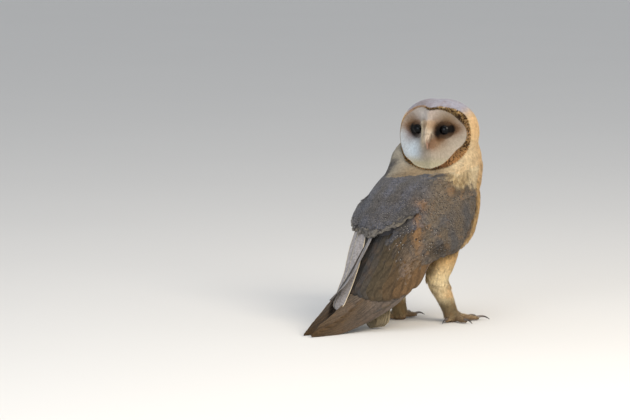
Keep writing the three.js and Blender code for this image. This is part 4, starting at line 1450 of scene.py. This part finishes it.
def flight_feathers(side):
    """Secondaries over primaries, barred, darker than the coverts."""
    inner, outer = Quills(len(SECONDARIES[side])), Quills(len(PRIMARIES))

    def secondary_tone(number):
        """Painted shadow on the right wing's first ones, under the far wing, and on the left wing's all but
        its pale first; then grey, then rusty along the lower edge.
        """
        if side == "left" and number == 0:
            return FAR_GREY * 0.95, FAR_GREY * 0.9
        grey = mixed(SLATE * 0.6, GREY_BROWN * [0.5, 0.48, 0.4], step(2, 4, number))
        rusty = mixed(grey, ORANGE_BUFF * 0.5, 0.7 * step(4.5, 8, number))
        # painted shadow: the right wing's first ones darker, the left wing's all at 0.4
        tone = rusty * (0.2 + 0.8 * step(0, 2.5, number) if side == "right" else 0.4)
        return tone, tone * 1.05

    primary_tone = mixed(GREY_BROWN, SLATE_BLUE, 0.4) * 1.4, PRIMARY_TIP
    for made in wing_quills(side, SECONDARIES[side], 21, (0.0, 0.08), secondary_tone):
        inner.add(*made)
    for made in wing_quills(side, PRIMARIES, 18, (0.8, 0.1), lambda number: primary_tone):
        outer.add(*made)
    inner.make(f"secondaries_{side}", FLIGHT, "slate")
    outer.make(f"primary_feathers_{side}", FLIGHT, "slate", f"primaries_{side}")


# Inner feathers of the left wing that hang over the midline: share, forward, right and up in mm.
OVERHANG = [
    [
        [0, -84, -20, 134], [0.3, -104, -13.5, 95], [0.52, -117, -8, 70],
        [0.76, -133, -5, 46], [1, -148, -1, 28],
    ],
    [
        [0, -85, -13, 136], [0.3, -103, -7, 98], [0.52, -117, -2.5, 71.5],
        [0.76, -133, -0.5, 47], [1, -151, 4, 28],
    ],
]


def overhang():
    """The left wing's innermost feathers, pale-edged, laid one on another across the back."""
    piece = Quills(len(OVERHANG))
    over = unit(UP * 0.55 - FORWARD * 0.75 + RIGHT * 0.25)
    for number, (path, width) in enumerate(zip(OVERHANG, (14, 13))):
        share = np.linspace(0, 1, 22)
        forward, right, up = through(path, share).T
        lift = 1.2 - 0.7 * number + 2.6 * np.sin(math.pi * share)
        lane = at(forward, right, up) + over * lift[:, None] * MM
        piece.add(*quill(lane, np.broadcast_to(over, lane.shape), width, FAR_GREY * 1.05, FAR_GREY))
    piece.make("overhang_feathers", PALE_EDGED, "slate")


TAIL_PATH = [[0, -66, 0, 104], [0.5, -86, 2, 52], [1, -95, 4, 0.6]]  # share, then as above
TAIL_HALF_WIDTH = (15, 24)
TAIL_SWAY = math.radians(6)
TAIL_ROOF = 5  # how far the outermost feathers lie below the middle pair


def tail_feathers():
    """The tail folded to a narrow roof: the middle pair on top, the others beneath in turn."""
    count = 12
    piece = Quills(count)
    across = unit(RIGHT * math.cos(TAIL_SWAY) - FORWARD * math.sin(TAIL_SWAY))
    share = np.linspace(0, 1, 20)
    forward, right, up = through(TAIL_PATH, share).T
    middle = at(forward, right, up)
    heading = unit(np.gradient(middle, axis=0))
    over = unit(np.cross(heading, across))
    over *= np.sign(dot(over, -FORWARD))[:, None]
    for number in sorted(range(count), key=lambda k: -abs(k - (count - 1) / 2)):
        out = (number - (count - 1) / 2) / ((count - 1) / 2)
        spread = TAIL_HALF_WIDTH[0] + (TAIL_HALF_WIDTH[1] - TAIL_HALF_WIDTH[0]) * share
        reach = 1 - 0.04 * abs(out)
        below = TAIL_ROOF * out * out + 1.6 * abs(out)
        offset = across * (out * 0.62 * spread)[:, None] - over * below
        lane = middle + offset * MM
        top = middle[:1] + offset[:1] * MM
        lane = top + (lane - top) * reach
        piece.add(*quill(lane, over, 22, TAIL_BROWN, mixed(TAIL_BROWN, CREAM, 0.4)))
    piece.make("tail_feathers", FLIGHT, "tail_brown", "tail")


# ---- eyes, lids, bill, claws ----------------------------------------------------------------
def hard_part(name, points, quads, layout, tint, material, slot, *replaced):
    """An eye, lid, bill or claw: one tint, and its layout as its unwrap too."""
    mesh = mesh_of(name, points, quads)
    dress(mesh, quads, np.tile([*tint, 1.0], (len(points), 1)), layout, layout)
    place(name, mesh, material, slot, *replaced)


def turned(profile, origin, axis, sides):
    """A surface turned round an axis from rows of [along, out], closed where out is 0."""
    axis = unit(axis)
    first = unit(np.cross(UP, axis))
    second = np.cross(axis, first)
    turn = np.linspace(0, 2 * math.pi, sides, endpoint=False)
    ring = first * np.cos(turn)[:, None] + second * np.sin(turn)[:, None]
    points = origin + axis * profile[:, :1, None] + ring[None] * profile[:, 1:, None]
    return points.reshape(-1, 3), ring_quads(len(profile), sides)


def ring_quads(rings, sides):
    """The quads between rings of points that follow one another."""
    grid = np.arange(rings * sides).reshape(rings, sides)
    after = np.roll(grid, -1, axis=1)
    return np.stack([grid[:-1], after[:-1], after[1:], grid[1:]], axis=-1).reshape(-1, 4)


def gaze_of(side):
    """Where an eye looks: ahead, and a tenth outward."""
    return unit(FACE + FACE_RIGHT * 0.10 * SIDES[side])


def eyeball(side):
    """A ball with a slightly steeper clear front, looking ahead and a little outward."""
    gaze = gaze_of(side)
    turn = np.linspace(0, math.pi, 40)
    bulge = 1 + 0.05 * np.exp(-((turn / 0.62) ** 4))
    profile = np.stack([np.cos(turn) * bulge, np.sin(turn) * bulge], axis=1) * EYE_RADIUS * 0.985
    profile[:, 1] = np.maximum(profile[:, 1], 1e-5)
    sides = 48
    points, quads = turned(profile, EYE_AT[side], gaze, sides)
    round_it = np.tile(np.linspace(0, 1, sides), len(profile))
    layout = np.stack([round_it, np.repeat(turn / math.pi, sides)], axis=1)
    hard_part(f"eyeball_{side}", points, quads, layout, (0.01, 0.01, 0.01), EYE, "eye", f"eye_{side}")


LID = {"half_width": 5.5, "half_height": 5.1}


def eyelid(side):
    """A soft rim round the eye's opening, with an outer fold that sinks under the plumes."""
    gaze = gaze_of(side)
    across = unit(np.cross(UP, gaze))
    upward = np.cross(gaze, across)
    sides = 56
    turn = np.linspace(0, 2 * math.pi, sides, endpoint=False)
    rings = []
    # out from the opening's edge, and off the ball, in mm
    for out, off in ((0.0, 0.05), (0.05, 0.16), (0.3, 0.22), (0.7, 0.18), (1.2, 0.05), (1.8, -0.3)):
        wide, high = LID["half_width"] + out, LID["half_height"] + out
        corner = 1 + 0.10 * np.cos(turn) ** 8
        x, y = wide * np.cos(turn) * corner, high * np.sin(turn)
        flat = np.minimum(np.hypot(x, y), EYE_RADIUS / MM - 0.2)
        depth = np.sqrt((EYE_RADIUS / MM) ** 2 - flat ** 2)
        spot = across * x[:, None] + upward * y[:, None] + gaze * depth[:, None]
        rings.append(EYE_AT[side] + (spot + unit(spot) * off) * MM)
    points = np.concatenate(rings)
    quads = ring_quads(len(rings), sides)
    outward = np.repeat(np.linspace(0, 1, len(rings)), sides)
    layout = np.stack([np.tile(turn / (2 * math.pi), len(rings)), outward], axis=1)
    hard_part(f"eyelid_{side}", points, quads, layout, (0.05, 0.03, 0.02), LID_SKIN, "eye")


def tube(path, radii, across, sides=28, squeeze=1.0, keel=0.0):
    """A closed tapering body along a path: its points, quads and layout."""
    path, radii = np.asarray(path), np.asarray(radii)
    heading = unit(np.gradient(path, axis=0))
    over = unit(np.cross(across, heading))
    turn = np.linspace(0, 2 * math.pi, sides, endpoint=False)
    ring = across * (np.cos(turn) * squeeze)[:, None]
    up = np.sin(turn) + keel * np.exp(-((turn - math.pi / 2) / 0.5) ** 2)
    points = path[:, None] + radii[:, None, None] * (ring[None] + over[:, None] * up[None, :, None])
    rows = len(path)
    layout = np.stack(np.broadcast_arrays(turn / (2 * math.pi), np.linspace(0, 1, rows)[:, None]), axis=-1)
    return points.reshape(-1, 3), ring_quads(rows, sides), layout.reshape(-1, 2)


BILL_PATH = [[0, 26, -1], [0.35, 36, -4.5], [0.7, 41, -12.5], [1, 38, -23.5]]


def bill_radius(share):
    return (4.0 * (1 - share) ** 0.5 + 0.3) * MM


def bill():
    """The hooked upper bill with the lower one closed under it, both mostly under bristles."""
    share = np.linspace(0, 1, 26)
    ahead, above = through(BILL_PATH, share).T
    upper = in_head(ahead, 0 * ahead, above)
    radii = bill_radius(share)
    lower = in_head(ahead - 2.6 + share, 0 * ahead, above - 1.4)[:20]
    hook = tube(upper, radii, FACE_RIGHT, squeeze=0.82, keel=0.12)
    under = tube(lower, radii[:20] * 0.72, FACE_RIGHT)
    quads = np.concatenate([hook[1], under[1] + len(hook[0])])
    points, layout = np.concatenate([hook[0], under[0]]), np.concatenate([hook[2], under[2]])
    hard_part("bill_horn", points, quads, layout, (0.6, 0.45, 0.35), BILL_HORN, "bill", "bill")


def claw(node):
    """A smooth curved claw through the slices of its faceted solid, from its root to its tip."""
    points = arrays_of(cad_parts[node].data)[0]
    side = node.rsplit("_", 1)[1]
    level = (points - points.mean(axis=0)) * [1, 1, 0]
    axis = unit(np.linalg.svd(level, full_matrices=False)[2][0])
    foot = centre(f"foot_{side}")
    axis *= np.sign(dot(points.mean(axis=0) - foot, axis))
    along = points @ axis
    near, far = along.min(), along.max()
    length = far - near
    share = np.linspace(0, 1, 24)
    root = points[along < near + 0.3 * length].mean(axis=0)
    reach = root + axis * ((near + length * share)[:, None] - root @ axis)
    thickness = (1.5 * (1 - share) ** 0.7 + 0.2) * MM
    height = root[2] + 0.0012 * np.sin(math.pi * share * 0.9) - (root[2] - 0.0007) * share ** 2.2
    reach[:, 2] = np.maximum(height, thickness + FLOOR_GAP)
    body, quads, layout = tube(reach, thickness, unit(np.cross(UP, axis)), sides=20, squeeze=0.8)
    hard_part(f"{node}_horn", body, quads, layout, (0.1, 0.08, 0.07), CLAW_HORN, "horn", node)


def foot_coat(skin, side, scute, bristles):
    """Plates down the top of each toe, and a few bristles between them."""
    chart = chart_round(centre(f"foot_{side}"), 0.0, 0.03)
    plates, hairs = Coat(skin, chart), Coat(skin, chart)
    own = owners(f"foot_{side}")
    middle = centre(f"tarsus_{side}")
    roots, normals = skin.scattered(own, 1.5)
    tint = shaded(np.broadcast_to(TOE, roots.shape), 0.12)
    plates.lay(roots, normals, (roots - middle) * [1, 1, 0], 2.6, 3.2, 0.45, tint * 0.8, tint * 1.15, scute,
               steps=2, sink_mm=0.15)
    plates.make(f"toe_scutes_{side}", SCUTES, "toe")
    roots, normals = skin.scattered(own, 1.5)
    upper = normals[:, 2] > 0.2
    roots, normals = roots[upper], normals[upper]
    hairs.lay(roots, normals, (roots - middle) * [1, 1, 0], 4.6, 0.5, 1.6, TOE * 1.2, SHANK * 0.8, bristles,
              steps=2)
    hairs.make(f"toe_bristles_{side}", SOFT, "shank")


def skin_piece(skin):
    """The one skin, tinted as the coat is but darker."""
    mesh = mesh_of("skin", skin.points, skin.faces)
    shade = np.where(in_disc(skin.points, skin.owner, 1.02), 0.9, 0.74)
    legs = owners(*(f"{part}_{side}" for part in ("thigh", "tarsus") for side in SIDES))
    shade = np.where(legs(skin.points, skin.owner), 0.9, shade)[:, None]
    colours = coat_colour(skin.points, skin.owner) * shade
    tints = np.concatenate([colours, np.zeros((len(skin.points), 1))], axis=1)
    tint = mesh.color_attributes.new("tint", "FLOAT_COLOR", "POINT")
    tint.data.foreach_set("color", np.asarray(tints, np.float32).ravel())
    place("skin", mesh, DOWN, "buff", *FLESH)


# ---- stage ----------------------------------------------------------------------------------
FLOOR_HALF = 30.0
LAMPS_AIM = Vector((0, 0, 0.14))
PHOTO_VIEW = (226, 6.8, 5.0)  # azimuth, elevation, distance
VIEW_AIM = Vector((0.10443406, 0.02319785, 0.13386168))  # the middle of the photo's frame


def paper(name, colour):
    g = Graph(name)
    return g.set(Base_Color=g.mix(g.noise(3.0), colour, colour * 1.02), Roughness=0.9, Specular_IOR_Level=0.1)


def floor_and_backdrop():
    """A wide pale floor, with a pale world behind it."""
    corners = np.array([(-1, -1, 0), (1, -1, 0), (1, 1, 0), (-1, 1, 0)], float) * FLOOR_HALF
    floor = bpy.data.objects.new("floor", mesh_of("floor", corners, np.array([(0, 1, 2, 3)])))
    floor.data.materials.append(paper("floor_paper", srgb(226, 224, 220)))
    bpy.context.scene.collection.objects.link(floor)
    world = bpy.data.worlds.new("studio")
    world.use_nodes = True
    background = world.node_tree.nodes["Background"]
    background.inputs["Color"].default_value = (*srgb(214, 218, 224), 1.0)
    background.inputs["Strength"].default_value = 0.75
    bpy.context.scene.world = world


def stand(name, data, azimuth, elevation, distance, aim):
    """Stands a lamp or camera off a place, at an azimuth and elevation in degrees, facing it."""
    a, e = math.radians(azimuth), math.radians(elevation)
    stood = bpy.data.objects.new(name, data)
    bpy.context.scene.collection.objects.link(stood)
    away = Vector((math.sin(a) * math.cos(e), -math.cos(a) * math.cos(e), math.sin(e)))
    stood.location = aim + away * distance
    stood.rotation_euler = (aim - stood.location).to_track_quat("-Z", "Y").to_euler()
    return stood


def lamp(name, azimuth, elevation, distance, size, watts, colour):
    """A soft round lamp."""
    data = bpy.data.lights.new(name, "AREA")
    data.shape, data.size, data.energy, data.color = "DISK", size, watts, colour
    stand(name, data, azimuth, elevation, distance, LAMPS_AIM)


def camera():
    """The photo's view: from behind the owl's right side, a little above it."""
    data = bpy.data.cameras.new("camera")
    data.lens, data.sensor_width = 234.192, 36
    bpy.context.scene.camera = stand("camera", data, *PHOTO_VIEW, VIEW_AIM)


# ---- build ----------------------------------------------------------------------------------
SOFT = plumage("soft_feathers", barbs=9.0, barb_depth=0.06, mottle=0.14)
SOFT_FINE = plumage("fine_feathers", barbs=5.0, barb_depth=0.04, mottle=0.1, sheen=0.03)
PEARLED = plumage("pearled_vanes", barbs=22.0, barb_depth=0.1, mottle=0.24, shaft=0.25, pearls=True)
FLIGHT = plumage("flight_vanes", barbs=70.0, barb_depth=0.1, mottle=0.19, shaft=0.07, bars=4.0,
                 edge=RUFF * 0.5, edge_share=0.18, warm=0.14)
PALE_EDGED = plumage("pale_edged_vanes", barbs=70.0, barb_depth=0.1, mottle=0.25, shaft=0.3, edge=CREAM,
                     edge_share=0.85)
DOWN = grained("down", (900.0, 3.0), (0.6, 0.3), 0.9, 0.1, spread=(0.2, 0.8, 0.75, 1.15))
LID_SKIN = grained("lid", (1500.0, 3.0), (0.5, 0.2), 0.85, 0.1, tones=(srgb(8, 6, 5), srgb(24, 16, 13)))
SCUTES = grained("scute", (1200.0, 3.0), (0.4, 0.2), 0.7, 0.25, spread=(0.25, 0.75, 0.78, 1.2))
EYE = eye_glass()
BILL_HORN = horn("bill_horn", srgb(118, 84, 64), srgb(152, 120, 100))
CLAW_HORN = horn("claw_horn", srgb(106, 95, 88), srgb(58, 52, 50), gloss=0.38)

camera()
floor_and_backdrop()
lamp("key", 262, 38, 2.2, 1.3, 38, (1.0, 0.90, 0.76))
lamp("fill", 196, 12, 2.6, 1.8, 27, (0.82, 0.90, 1.0))
lamp("top", 220, 80, 2.4, 1.6, 12, (0.96, 0.97, 1.0))
lamp("low", 252, 6, 2.4, 0.8, 5, (1.0, 0.97, 0.92))
bpy.context.scene.view_settings.view_transform = "Standard"

solids = Solids()
skin = Skin(*grown_skin(solids))
skin_piece(skin)
vane, tuft, strand = vane_pattern(), tuft_pattern(), strand_pattern(3)
scute, rim_vane = (vane_pattern(rows=4, waist=0.6, fringe=fringe) for fringe in (0, 5))
face_coat(skin, strand)
eye_plumes(skin, strand)
bill_bristles(skin, strand_pattern(4))
rim_coat(skin, rim_vane)
head_coat(skin, tuft)
neck_coat(skin, tuft, vane)
mantle_coat(skin, vane)
breast_coat(skin, tuft)
for side in SIDES:
    covert_coat(skin, side, vane)
    wing_lining(skin, side, tuft)
    flight_feathers(side)
    leg_coat(skin, side, tuft, strand)
    foot_coat(skin, side, scute, strand_pattern(2))
    eyeball(side)
    eyelid(side)
    for toe in ("hallux", "inner", "middle", "outer"):
        claw(f"claw_{toe}_{side}")
overhang()
tail_feathers()
bill()
